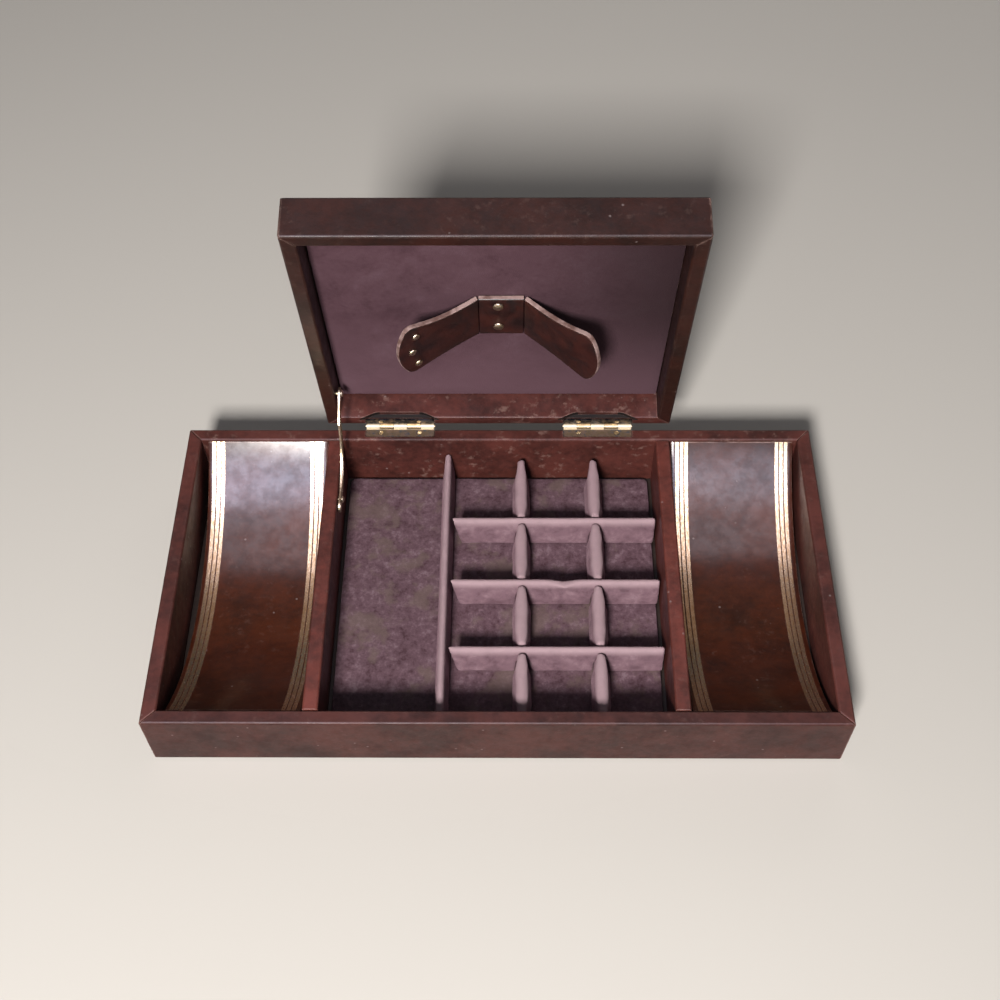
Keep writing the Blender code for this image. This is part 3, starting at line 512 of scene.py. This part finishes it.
def relieved(node, leaves, deep, down):
    """A bmesh of the lid's back board with a shallow arch cut out of its inner edge behind each hinge leaf. The cut
    is the second material."""
    bm = merged_copy(node)
    inner = max(v.co.dot(LID_UP) for v in bm.verts)
    rim = max(v.co.dot(RIM_OUT) for v in bm.verts)
    board = bpy.data.meshes.new("board")
    bm.to_mesh(board)
    bm.free()
    work = bpy.data.objects.new("board", board)
    bpy.context.scene.collection.objects.link(work)
    tools = []
    for leaf in leaves:
        middle_x = middle(leaf).x
        wide = (span(leaf)[1].x - span(leaf)[0].x) * ARCH_WIDTH
        flat = wide * ARCH_FLAT
        outline = [(-wide / 2, -CUTTER_STANDS_OUT)]
        for step in range(33):
            x = (step / 32 - 0.5) * wide
            outline.append((x, deep * smooth_step(wide / 2 - abs(x), 0.0, wide / 2 - flat / 2)))
        outline.append((wide / 2, -CUTTER_STANDS_OUT))
        bm = bmesh.new()
        verts = [bm.verts.new(Vector((middle_x + x, 0.0, 0.0)) + RIM_OUT * (rim - b) + LID_UP * (inner - down))
                 for x, b in outline]
        face = bm.faces.new(verts)
        risen = bmesh.ops.extrude_face_region(bm, geom=[face])["geom"]
        bmesh.ops.translate(bm, verts=[g for g in risen if isinstance(g, bmesh.types.BMVert)],
                            vec=LID_UP * (down + CUTTER_STANDS_OUT))
        bmesh.ops.recalc_face_normals(bm, faces=bm.faces[:])
        shape = bpy.data.meshes.new("arch")
        bm.to_mesh(shape)
        bm.free()
        tool = bpy.data.objects.new("arch", shape)
        bpy.context.scene.collection.objects.link(tool)
        cut = work.modifiers.new("arch", "BOOLEAN")
        cut.object, cut.operation, cut.solver = tool, "DIFFERENCE", "EXACT"
        tools.append(tool)
    carved = bpy.data.meshes.new_from_object(work.evaluated_get(bpy.context.evaluated_depsgraph_get()))
    for thing in (*tools, work):
        bpy.data.objects.remove(thing)
    bm = bmesh.new()
    bm.from_mesh(carved)
    for face in bm.faces:
        centre = face.calc_center_median()
        below = inner - centre.dot(LID_UP)
        inside = rim - centre.dot(RIM_OUT) < deep + CUT_MARGIN and 0.02 * MM < below < down + CUT_MARGIN
        near = min(abs(centre.x - middle(leaf).x) for leaf in leaves) < wide / 2
        if inside and near and abs(face.normal.dot(RIM_OUT)) < 0.999:
            face.material_index = 1
    return bm


class VALETBOX_OT_boards(bpy.types.Operator):
    """Cover the walls, partitions and lid boards in glazed leather."""

    bl_idname = "valetbox.boards"
    bl_label = "Leather-covered boards"

    def execute(self, context):
        look = context.scene.valetbox_leather
        calf = glazed_calf("glazed_calf", look.deep, look.warm, look.worn, look.dust)
        dress(calf, "left_wall", "right_wall")
        # The front wall gets the darker copy of the walls' leather: painted shade.
        dress(glazed_calf("glazed_calf_front_shaded", look.front_shaded_deep, look.front_shaded_warm, look.worn, look.dust), "front_wall")
        scuffed = glazed_calf("glazed_calf_scuffed", look.deep, look.warm, look.worn, look.dust, scuffed=0.3)
        dress(scuffed, "back_wall")
        bm = relieved("lid_back_wall", ("left_hinge_lid_leaf", "right_hinge_lid_leaf"), look.relief_deep,
                      look.relief_down)
        # The cut's faces are bare board, painted darker than the hardboard under the box: partly painted shade in the
        # cut.
        shaded_cut_board = hardboard("bare_board_shaded", colour("#120c09"), colour("#241a14"))
        back = piece("lid_back_wall_leather", bm, (scuffed, shaded_cut_board), "lid", ("lid_back_wall",))
        redder = glazed_calf("glazed_calf_red", look.red_deep, look.red_warm, look.worn, look.dust)
        dress(redder, "left_partition", "right_partition")
        browner = glazed_calf("glazed_calf_brown", look.lid_deep, look.lid_warm, look.worn, look.dust)
        dress(browner, "lid_front_wall", "lid_left_wall", "lid_right_wall", "lid_panel")
        for name in ("front_wall", "back_wall", "left_wall", "right_wall", "left_partition", "right_partition",
                     "lid_front_wall", "lid_left_wall", "lid_right_wall"):
            eased(NODES[name], look.board_round, 3)
        eased(back, look.board_round, 3)
        return {"FINISHED"}


TROUGH_THICKNESS = 2.4 * MM
TROUGH_STEPS = 110
# The section is spun a little past both ends, which are then cut plumb.
SPUN_PAST = 1.06
# Where the first line of each band starts, in millimetres, measured on the photograph.
LINE_STARTS = {"left_trough": (-164.2, -107.9), "right_trough": (100.9, 157.6)}


def trough_profile(bm, low_x, high_x, top, foot, look, bands):
    """The trough board's section at its lowest line: rounded edges, and lines pressed in along both bands."""
    edge = look.edge_round
    line, gap, depth = look.line_width, look.line_gap, look.line_depth
    points = [(low_x, top - edge), (low_x + edge * 0.3, top - edge * 0.3), (low_x + edge, top)]
    for start in bands:
        for number in range(3):
            at = start + number * (line + gap)
            points += [(at, top), (at + depth, top - depth), (at + line - depth, top - depth), (at + line, top)]
    points += [(high_x - edge, top), (high_x - edge * 0.3, top - edge * 0.3), (high_x, top - edge),
               (high_x, foot), (low_x, foot)]
    verts = [bm.verts.new((x, 0.0, z)) for x, z in points]
    return [bm.edges.new(pair) for pair in zip(verts, verts[1:] + verts[:1])]


class VALETBOX_OT_troughs(bpy.types.Operator):
    """Build the two curved leather troughs with their gold-tooled lines."""

    bl_idname = "valetbox.troughs"
    bl_label = "Tooled troughs"

    def execute(self, context):
        look = context.scene.valetbox_leather
        calf = glazed_calf("polished_calf", look.trough_deep, look.trough_warm, look.worn, look.dust, gloss=0.40,
                           grain=0.9, grain_depth=0.025, glaze=(0.62, 1.0), shine=0.15)
        gold = gold_leaf("tooled_gold", look.gold, look.gold_aged, look.trough_warm)
        for node, bands in LINE_STARTS.items():
            low, high = span(node)
            half = (high.y - low.y) / 2
            foot = low.z
            top = foot + TROUGH_THICKNESS
            rise = high.z - top
            radius = (half ** 2 + rise ** 2) / (2 * rise)
            centre = Vector((0.0, (low.y + high.y) / 2, top + radius))
            bm = bmesh.new()
            edges = trough_profile(bm, low.x, high.x, top, foot, look, [b * MM for b in bands])
            beyond = math.asin(half / radius) * SPUN_PAST
            bmesh.ops.rotate(bm, verts=bm.verts[:], cent=centre, matrix=Matrix.Rotation(-beyond, 3, "X"))
            bmesh.ops.spin(bm, geom=edges, cent=centre, axis=(1.0, 0.0, 0.0), angle=2 * beyond,
                           steps=TROUGH_STEPS, use_duplicate=False)
            for side in (-1, 1):
                bmesh.ops.bisect_plane(bm, geom=bm.verts[:] + bm.edges[:] + bm.faces[:], clear_outer=True,
                                       plane_co=(0.0, centre.y + side * half, 0.0), plane_no=(0.0, side, 0.0))
            bmesh.ops.holes_fill(bm, edges=[e for e in bm.edges if e.is_boundary], sides=0)
            line, gap, depth = look.line_width, look.line_gap, look.line_depth
            grooves = [b * MM + n * (line + gap) for b in bands for n in range(3)]
            for face in bm.faces:
                at = face.calc_center_median()
                reach = math.hypot(at.y - centre.y, at.z - centre.z)
                pressed = any(g <= at.x <= g + line for g in grooves)
                if pressed and abs(reach - radius) < 2 * depth and len(face.verts) < 8:
                    face.material_index = 1
            piece(node + "_leather", bm, (calf, gold), "base", (node,))
        return {"FINISHED"}


# The cloth is solved at this many times its size, over this many frames.
CLOTH_SCALE = 10.0
CLOTH_FRAMES = 20
# A swelled point moves by this share of what the solver gives it, and by this share of its cap straight outwards.
SOLVED_SHARE, OUTWARD_SHARE = 0.6, 0.55


def swelled(node, voxel, cap, pressure, held, slack=0.0, tilt=0.0):
    """A velvet copy of a node, remeshed, then moved out in part by the cloth solver and in part straight along its
    normals, each point held within its own share of the cap. tilt is the node's own turn about x, so that its faces
    lie along the remesh grid."""
    bm = merged_copy(node)
    mesh = bpy.data.meshes.new("cloth")
    bm.to_mesh(mesh)
    bm.free()
    level = Matrix.Rotation(tilt, 4, "X")
    mesh.transform(Matrix.Scale(CLOTH_SCALE, 4) @ level.inverted())
    cloth = bpy.data.objects.new("cloth", mesh)
    bpy.context.scene.collection.objects.link(cloth)
    remesh = cloth.modifiers.new("grid", "REMESH")
    remesh.mode = "VOXEL"
    remesh.voxel_size = voxel * CLOTH_SCALE
    fine = bpy.data.meshes.new_from_object(cloth.evaluated_get(bpy.context.evaluated_depsgraph_get()))
    cloth.modifiers.clear()
    cloth.data = fine
    bm = bmesh.new()
    bm.from_mesh(fine)
    for _ in range(2):
        bmesh.ops.smooth_vert(bm, verts=bm.verts, factor=0.5, use_axis_x=True, use_axis_y=True, use_axis_z=True)
    bm.to_mesh(fine)
    bm.free()
    fine.transform(level)
    start = [v.co / CLOTH_SCALE for v in fine.vertices]
    limits = [cap * held(point) for point in start]
    group = cloth.vertex_groups.new(name="held")
    for index, limit in enumerate(limits):
        group.add([index], 1.0 if limit <= cap * 0.03 else 0.0, "REPLACE")
    solver = cloth.modifiers.new("cloth", "CLOTH")
    solver.settings.use_pressure = True
    solver.settings.uniform_pressure_force = pressure
    solver.settings.effector_weights.gravity = 0.0
    solver.settings.vertex_group_mass = "held"
    solver.settings.quality = 5
    solver.settings.shrink_min = -slack
    solver.collision_settings.use_collision = False
    scene = bpy.context.scene
    for number in range(1, CLOTH_FRAMES + 1):
        scene.frame_set(number)
    blown = bpy.data.meshes.new_from_object(cloth.evaluated_get(bpy.context.evaluated_depsgraph_get()))
    scene.frame_set(1)
    ends = [v.co / CLOTH_SCALE for v in blown.vertices]
    bpy.data.meshes.remove(blown)
    bm = bmesh.new()
    bm.from_mesh(fine)
    bm.verts.ensure_lookup_table()
    for index, vert in enumerate(bm.verts):
        outward = fine.vertices[index].normal * limits[index]
        move = (ends[index] - start[index]) * SOLVED_SHARE + outward * OUTWARD_SHARE
        if move.length > limits[index]:
            move = move.normalized() * limits[index]
        vert.co = start[index] + move
    bpy.data.objects.remove(cloth)
    bmesh.ops.smooth_vert(bm, verts=bm.verts, factor=0.5, use_axis_x=True, use_axis_y=True, use_axis_z=True)
    return bm


# A pad is held at its left and right edges and free from this far in, and its crown rises and falls on this scale.
PAD_EDGE, PAD_WAVE = 4 * MM, 16 * MM
# The pads' and the strips' cloth grid over the voxel that a user sets.
PAD_GRID, STRIP_GRID = 1.5, 0.8


class VALETBOX_OT_pads(bpy.types.Operator):
    """Build the velvet floor pad and the velvet lining of the lid."""

    bl_idname = "valetbox.pads"
    bl_label = "Velvet pad and lining"

    def execute(self, context):
        look = context.scene.valetbox_velvet
        velvet = crushed_velvet("crushed_velvet", look.deep, look.mid, look.pale, look.fade, 9.0, 0.30, 0.45)
        # Painted light: the lining is painted paler towards the hinges.
        # Painted shade: the lining is painted darker over its right side.
        lining = crushed_velvet("lining_velvet", look.lining_deep, look.lining_mid, look.mid, look.lining_mid, 30.0,
                                0.25, 0.22, paled_and_highlit=(150 * MM, 50 * MM, look.lining_pale),
                                painted_shade_span=(15 * MM, 115 * MM, look.lining_painted_shade))
        for node, body, cloth in (("floor_pad", "base", velvet), ("lid_lining", "lid", lining)):
            low, high = span(node)

            def held(point, low=low, high=high):
                inside = min(point.x - low.x, high.x - point.x, PAD_EDGE) / PAD_EDGE
                wave = 0.5 + 0.5 * noise.noise(point / PAD_WAVE)
                return max(inside, 0.0) * (0.35 + 0.65 * wave)

            tilt = 0.0 if body == "base" else math.atan2(-LID_UP.y, LID_UP.z)
            bm = swelled(node, look.voxel * PAD_GRID, look.pad_swell, 3.0, held, tilt=tilt)
            made = piece(node + "_velvet", bm, (cloth,), body, (node,))
        return {"FINISHED"}


COLUMNS = ("column_strip_1", "column_strip_2")
ROWS = ("row_strip_1", "row_strip_2", "row_strip_3")
# Half a column's width in millimetres at its foot, and how much is lost over its height: as the solid has it, where a
# row crosses it, and between the rows, where it narrows only above FULL_BELOW. Above CROWN the ridge rounds over.
AS_BUILT, HELD_IN, LET_OUT = (3.5, 1.97), (2.8, 0.8), (4.1, 2.4)
FULL_BELOW, CROWN = 0.4, 0.915
# How far from a crossing a column starts to fill out, over what length it does, and its unevenness and its scale.
FILL_START, FILL_LENGTH = 1.5 * MM, 11 * MM
UNEVEN, UNEVEN_SCALE = 0.35 * MM, 7 * MM


def fleshed(bm, node, along, crossings):
    """Gives a column the section that it has in use: drawn in where the rows cross it, and full between them. This is
    shaped by rule and not by the cloth solver."""
    low, high = span(node)
    across = 1 - along
    centre = (low[across] + high[across]) / 2
    for vert in bm.verts:
        near = min([abs(vert.co[along] - c) for c in crossings] +
                   [vert.co[along] - low[along], high[along] - vert.co[along]])
        full = smooth_step(near, FILL_START, FILL_LENGTH)
        height = min(max((vert.co.z - low.z) / (high.z - low.z), 0.0), CROWN)
        as_built = AS_BUILT[0] - AS_BUILT[1] * height
        held_in = HELD_IN[0] - HELD_IN[1] * height
        let_out = LET_OUT[0] - LET_OUT[1] * max(height - FULL_BELOW, 0.0)
        wanted = held_in + (let_out - held_in) * full
        vert.co[across] = centre + (vert.co[across] - centre) * wanted / as_built
        vert.co[across] += UNEVEN * full * noise.noise(vert.co / UNEVEN_SCALE)


# The dent in the middle row: where it is along x, how far it reaches to each side, its depth at the ridge, and how
# far down from the ridge it goes.
DENT_X, DENT_REACH, DENT_DEPTH, DENT_DOWN = 36 * MM, 9 * MM, 2.2 * MM, 6 * MM


def dent(bm, centre, reach, depth):
    """Folds the ridge of a strip down and forward at one place, where the keeper's wing has pushed on it."""
    for vert in bm.verts:
        near = max(1.0 - abs(vert.co.x - centre.x) / reach, 0.0) ** 1.3
        high = min(max((vert.co.z - centre.z + DENT_DOWN) / DENT_DOWN, 0.0), 1.0)
        front = 1.0 if vert.co.y < centre.y else 0.25
        vert.co.y -= depth * near * high * front
        vert.co.z -= depth * 0.7 * near * high


# A strip is held this near to a crossing and free from this far past it, its sides fill out most at BELLY_AT of its
# height and less over BELLY_FALL to each side, and never less than BELLY_LEAST of the cap.
HELD_NEAR, FREE_FROM = 2.2 * MM, 12 * MM
BELLY_AT, BELLY_FALL, BELLY_LEAST = 0.36, 0.64, 0.22


class VALETBOX_OT_strips(bpy.types.Operator):
    """Build the velvet dividing strips, filled out between their crossings."""

    bl_idname = "valetbox.strips"
    bl_label = "Dividing strips"

    def execute(self, context):
        look = context.scene.valetbox_velvet
        # The strips' tops, from 22 to 27 mm up, are painted paler: a painted highlight.
        velvet = crushed_velvet("strip_velvet", look.strip_deep, look.strip_mid, look.strip_pale, look.strip_mid,
                                9.0, 0.45, 0.12, paled_and_highlit=(22 * MM, 27 * MM, look.strip_ridge_highlight))
        rows = [middle(name).y for name in ROWS]
        columns = [middle(name).x for name in COLUMNS]
        for node in ("long_divider", *COLUMNS, *ROWS):
            low, high = span(node)
            along = 0 if node in ROWS else 1
            crossings = columns if node in ROWS else rows
            if node == "long_divider":
                crossings = []

            def held(point, low=low, high=high, along=along, crossings=crossings):
                near = min([abs(point[along] - c) for c in crossings] or [1.0])
                near = min(near, point[along] - low[along], high[along] - point[along])
                full = min(max((near - HELD_NEAR) / FREE_FROM, 0.0), 1.0)
                height = (point.z - low.z) / (high.z - low.z)
                belly = max(1.0 - abs(height - BELLY_AT) / BELLY_FALL, BELLY_LEAST) * min(height * 12, 1.0)
                return math.sin(full * math.pi / 2) * belly

            bm = swelled(node, look.voxel * STRIP_GRID, look.strip_swell, 6.0, held, slack=0.03)
            if node in COLUMNS:
                fleshed(bm, node, along, crossings)
            if node == "row_strip_2":
                dent(bm, Vector((DENT_X, (low.y + high.y) / 2, high.z)), DENT_REACH, DENT_DEPTH)
            body = "base" if node == "long_divider" else "divider_grid"
            made = piece(node + "_velvet", bm, (velvet,), body, (node,))
        return {"FINISHED"}


WING_SLICES = 16
# The share of a wing's length over which its upper edge is cut down.
WAIST_SHARE = 0.84


def waisted(bm, across, depth):
    """Cuts a wing's upper edge down in a shallow curve between its crease and its rounded end."""
    along = across.cross(LID_UP).normalized()
    plate = middle("strap_plate")
    if sum((v.co - plate).dot(along) for v in bm.verts) < 0:
        along.negate()
    reach = [(v.co - plate).dot(along) for v in bm.verts]
    start, stop = min(reach), max(reach)
    for number in range(1, WING_SLICES):
        at = start + (stop - start) * number / WING_SLICES
        bmesh.ops.bisect_plane(bm, geom=bm.verts[:] + bm.edges[:] + bm.faces[:], dist=1e-6,
                               plane_co=plate + along * at, plane_no=along)
    heights = [v.co.dot(LID_UP) for v in bm.verts]
    floor, top = min(heights), max(heights)
    for vert in bm.verts:
        share = ((vert.co - plate).dot(along) - start) / (stop - start) / WAIST_SHARE
        high = max((vert.co.dot(LID_UP) - floor) / (top - floor) - 0.5, 0.0) * 2
        if share < 1.0:
            vert.co -= LID_UP * depth * high * math.sin(share * math.pi) ** 1.2


class VALETBOX_OT_keeper(bpy.types.Operator):
    """Build the leather keeper: its plate, wings and rivets."""

    bl_idname = "valetbox.keeper"
    bl_label = "Leather keeper"

    def execute(self, context):
        look = context.scene.valetbox_keeper
        brass = context.scene.valetbox_brass
        hide = strap_hide("waxed_strap_hide", look.face_deep, look.face_warm)
        edge = cut_edge("cut_hide_edge", look.edge_pale, look.edge_stained)
        for node, body in (("strap_plate", "lid"), ("strap_wing_left", "strap_wing_left"),
                           ("strap_wing_right", "strap_wing_right")):
            bm = merged_copy(node)
            bmesh.ops.dissolve_limit(bm, angle_limit=math.radians(1), verts=bm.verts[:], edges=bm.edges[:])
            faces = sorted(bm.faces, key=lambda f: f.calc_area())[-2:]
            across = faces[0].normal.copy()
            if body != "lid":
                waisted(bm, across, look.waist)
            for face in bm.faces:
                face.material_index = 0 if abs(face.normal.dot(across)) > 0.75 else 1
            rim = [e for e in bm.edges if len({f.material_index for f in e.link_faces}) == 2]
            bmesh.ops.bevel(bm, geom=rim, offset=look.edge_round, segments=2, profile=0.6, affect="EDGES", material=0)
            piece(node + "_hide", bm, (hide, edge), body, (node,), sharp=math.radians(30))
        nickel = lacquered_brass("nickelled_rivet", brass.rivet_bright, brass.dull, brass.spots, (0.66, 0.78), 0.24)
        dress(nickel, "strap_rivet_upper", "strap_rivet_lower", "wing_rivet_1", "wing_rivet_2", "wing_rivet_3")
        return {"FINISHED"}


# The hinges' axis in y and z, and how far round it the brass is bright: the knuckles, 1.6 mm in radius, and a little
# of the leaves.
HINGE_LINE = (0.0952, 0.0411)
BRIGHT_REACH = 0.0020
SLOT_WIDTH, SLOT_DEPTH = 0.55 * MM, 0.4 * MM
# The first screw's slot, and how much further each of the next is turned, in degrees.
FIRST_TURN, NEXT_TURN = 20, 53


def slotted(node, facing, turn, width, depth):
    """A bmesh of a screw with a slot let into its head, turned as it was driven."""
    bm = merged_copy(node)
    bmesh.ops.dissolve_limit(bm, angle_limit=math.radians(1), verts=bm.verts[:], edges=bm.edges[:])
    head = max(bm.faces, key=lambda f: f.normal.dot(facing) * f.calc_area())
    centre, level = head.calc_center_median(), head.calc_center_median().dot(facing)
    across = Matrix.Rotation(turn, 3, facing) @ Vector((1.0, 0.0, 0.0))

    def tops():
        return [f for f in bm.faces if f.normal.dot(facing) > 0.99 and
                abs(f.calc_center_median().dot(facing) - level) < 0.01 * MM]

    for side in (-0.5, 0.5):
        faces = tops()
        geom = list({v for f in faces for v in f.verts}) + list({e for f in faces for e in f.edges}) + faces
        bmesh.ops.bisect_plane(bm, geom=geom, dist=1e-7, plane_co=centre + across * side * width, plane_no=across)
    strip = [f for f in tops() if abs((f.calc_center_median() - centre).dot(across)) < width / 2]
    sunk = bmesh.ops.extrude_face_region(bm, geom=strip)["geom"]
    bmesh.ops.translate(bm, verts=[g for g in sunk if isinstance(g, bmesh.types.BMVert)], vec=-facing * depth)
    bmesh.ops.delete(bm, geom=strip, context="FACES_ONLY")
    return bm


class VALETBOX_OT_brassware(bpy.types.Operator):
    """Give hinges, screws and stay their aged brass."""

    bl_idname = "valetbox.brassware"
    bl_label = "Hinges and stay"

    def execute(self, context):
        look = context.scene.valetbox_brass
        brass = lacquered_brass("lacquered_brass", look.bright, look.dull, look.spots)
        blue = lacquered_brass("blued_leaf_brass", look.spots, look.leaf_spots, look.leaf_dark, (0.42, 0.56), 0.30,
                               (*HINGE_LINE, BRIGHT_REACH, look.dull))
        grey = lacquered_brass("dirty_leaf_brass", look.leaf_dirt, look.spots, look.leaf_spots, (0.50, 0.64), 0.46,
                               (*HINGE_LINE, BRIGHT_REACH, look.bright), metal=0.45)
        dress(brass, "left_hinge_pin", "right_hinge_pin", "stay_arm", "stay_lid_pin", "stay_base_pin")
        dress(blue, "left_hinge_lid_leaf", "right_hinge_lid_leaf")
        dress(grey, "left_hinge_base_leaf", "right_hinge_base_leaf")
        for name in ("stay_arm", "left_hinge_lid_leaf", "right_hinge_lid_leaf", "left_hinge_base_leaf",
                     "right_hinge_base_leaf"):
            eased(NODES[name], look.edge_ease, 2)
        turn = FIRST_TURN
        for side in ("left", "right"):
            for body, facing in (("base", Vector((0.0, 0.0, 1.0))), ("lid", RIM_OUT)):
                for number in (1, 2):
                    name = f"{side}_{body}_leaf_screw_{number}"
                    piece(name + "_slotted", slotted(name, facing, math.radians(turn), SLOT_WIDTH, SLOT_DEPTH),
                          (brass,), body, (name,))
                    turn += NEXT_TURN
        return {"FINISHED"}


# The felt's faces along and across, the waves that it lies in and their scale, and its thickness over the solid's.
FELT_FACES = (120, 62)
FELT_WAVE, FELT_WAVE_SCALE = 0.06 * MM, 9 * MM
FELT_SHARE = 0.86


class VALETBOX_OT_underside(bpy.types.Operator):
    """Give the hidden board and the felt underneath their materials."""

    bl_idname = "valetbox.underside"
    bl_label = "Board and felt"

    def execute(self, context):
        dress(hardboard("pressed_hardboard", colour("#1d140e"), colour("#2c2018")), "bottom_board")
        felt = pressed_felt("brown_wool_felt", colour("#2b1c17"), colour("#4a342b"))
        low, high = span("base_felt")
        bm = bmesh.new()
        bmesh.ops.create_grid(bm, x_segments=FELT_FACES[0], y_segments=FELT_FACES[1], size=0.5)
        bmesh.ops.scale(bm, verts=bm.verts, vec=(high.x - low.x, high.y - low.y, 1.0))
        bmesh.ops.translate(bm, verts=bm.verts, vec=(low + high) / 2)
        for vert in bm.verts:
            vert.co.z += FELT_WAVE * noise.noise(vert.co / FELT_WAVE_SCALE)
        bmesh.ops.solidify(bm, geom=bm.faces[:], thickness=(high.z - low.z) * FELT_SHARE)
        mean_height = sum(v.co.z for v in bm.verts) / len(bm.verts)
        bmesh.ops.translate(bm, verts=bm.verts, vec=(0.0, 0.0, middle("base_felt").z - mean_height))
        made = piece("base_felt_sheet", bm, (felt,), "base", ("base_felt",))
        return {"FINISHED"}


# Camera, fitted to the photograph's edges: place in metres, and turns in degrees.
CAMERA_PLACE = (0.0079, -0.3940, 0.6536)
CAMERA_YAW, CAMERA_PITCH, CAMERA_ROLL = -0.904, 54.487, -0.697
CAMERA_LENS, CAMERA_SENSOR = 48.98, 36.0


class VALETBOX_OT_stage(bpy.types.Operator):
    """Set the pale floor, the soft lamps and the camera."""

    bl_idname = "valetbox.stage"
    bl_label = "Stage"

    def execute(self, context):
        look = context.scene.valetbox_stage
        scene = context.scene
        floor, tree, _ = new_material("studio_floor")
        path = tree.nodes.new("ShaderNodeLightPath")
        seen = sums(tree, "MAXIMUM", path.outputs["Is Camera Ray"], path.outputs["Is Glossy Ray"])
        shade(tree, {"Roughness": 0.9, "Specular IOR Level": 0.2},
              Base__Color=mixed(tree, seen, look.bounce, look.floor))
        bm = bmesh.new()
        bmesh.ops.create_grid(bm, x_segments=1, y_segments=1, size=6.0)
        mesh = bpy.data.meshes.new("studio_floor")
        bm.to_mesh(mesh)
        bm.free()
        ground = bpy.data.objects.new("studio_floor", mesh)
        mesh.materials.append(floor)
        scene.collection.objects.link(ground)
        lamps = (
            ("key_lamp", look.key, 0.24, 0.24, (-0.22, -1.06, 1.05), True, True, "#fffaf4"),
            ("back_lamp", look.back, 0.90, 0.60, (0.45, 1.20, 0.80), True, False, "#fffaf4"),
            ("window_panel", look.window, 1.30, 0.56, (-0.42, -0.66, 1.33), False, True, "#e2e2ff"),
            ("side_panel", look.side, 0.60, 0.56, (0.48, -0.66, 1.33), False, True, "#eceaff"),
            ("ceiling_panel", look.ceiling, 1.16, 1.06, (-0.05, -0.17, 1.45), False, True, "#f6e2ea"),
            ("far_panel", look.far, 1.30, 0.92, (0.0, 0.90, 1.20), False, True, "#e8a468"),
        )
        for name, power, wide, deep, place, lights_matt, lights_gloss, hue in lamps:
            data = bpy.data.lights.new(name, "AREA")
            data.shape = "RECTANGLE"
            data.energy, data.size, data.size_y = power, wide, deep
            data.color = colour(hue)[:3]
            lamp = bpy.data.objects.new(name, data)
            lamp.location = place
            lamp.rotation_mode = "QUATERNION"
            lamp.rotation_quaternion = Vector(place).to_track_quat("Z", "Y")
            lamp.visible_diffuse, lamp.visible_glossy = lights_matt, lights_gloss
            scene.collection.objects.link(lamp)
        world = bpy.data.worlds.new("studio_air")
        world.use_nodes = True
        world.node_tree.nodes["Background"].inputs["Color"].default_value = colour("#f4f2f4")
        world.node_tree.nodes["Background"].inputs["Strength"].default_value = look.air
        scene.world = world
        yaw, pitch, roll = (math.radians(a) for a in (CAMERA_YAW, CAMERA_PITCH, CAMERA_ROLL))
        ahead = Vector((math.sin(yaw) * math.cos(pitch), math.cos(yaw) * math.cos(pitch), -math.sin(pitch)))
        right = ahead.cross(Vector((0.0, 0.0, 1.0))).normalized()
        up = right.cross(ahead)
        rolled_right = right * math.cos(roll) + up * math.sin(roll)
        rolled_up = up * math.cos(roll) - right * math.sin(roll)
        data = bpy.data.cameras.new("photo_camera")
        data.lens, data.sensor_width, data.sensor_fit = CAMERA_LENS, CAMERA_SENSOR, "HORIZONTAL"
        data.clip_start, data.clip_end = 0.01, 50.0
        camera = bpy.data.objects.new("photo_camera", data)
        turn = Matrix((rolled_right, rolled_up, -ahead)).transposed()
        camera.matrix_world = Matrix.Translation(CAMERA_PLACE) @ turn.to_4x4()
        scene.collection.objects.link(camera)
        scene.camera = camera
        scene.view_settings.view_transform = "Standard"
        return {"FINISHED"}


# ---------------------------------------------------------------- add-on


STEPS = (VALETBOX_OT_stage, VALETBOX_OT_boards, VALETBOX_OT_troughs, VALETBOX_OT_pads, VALETBOX_OT_strips,
         VALETBOX_OT_keeper, VALETBOX_OT_brassware, VALETBOX_OT_underside)
GROUPS = {"valetbox_leather": ValetBoxLeather, "valetbox_velvet": ValetBoxVelvet, "valetbox_keeper": ValetBoxKeeper,
          "valetbox_brass": ValetBoxBrass, "valetbox_stage": ValetBoxStage}


class VALETBOX_PT_panel(bpy.types.Panel):
    """Sizes, colours and steps of the valet box."""

    bl_label = "Valet Box"
    bl_idname = "VALETBOX_PT_panel"
    bl_space_type = "VIEW_3D"
    bl_region_type = "UI"
    bl_category = "Valet Box"

    def draw(self, context):
        for step in STEPS:
            self.layout.operator(step.bl_idname)
        for group, kind in GROUPS.items():
            box = self.layout.box()
            box.label(text=kind.__doc__.rstrip("."))
            for name in kind.__annotations__:
                box.prop(getattr(context.scene, group), name)


def register():
    """Registers the groups, operators and panel."""
    for group, kind in GROUPS.items():
        bpy.utils.register_class(kind)
        setattr(bpy.types.Scene, group, PointerProperty(type=kind))
    for kind in (*STEPS, VALETBOX_PT_panel):
        bpy.utils.register_class(kind)


def unregister():
    """Takes them off again."""
    for kind in reversed((*STEPS, VALETBOX_PT_panel)):
        bpy.utils.unregister_class(kind)
    for group, kind in GROUPS.items():
        delattr(bpy.types.Scene, group)
        bpy.utils.unregister_class(kind)


def main():
    """Builds everything in order."""
    register()
    for step in STEPS:
        getattr(bpy.ops.valetbox, step.bl_idname.split(".")[1])()


if __name__ == "__main__":
    main()
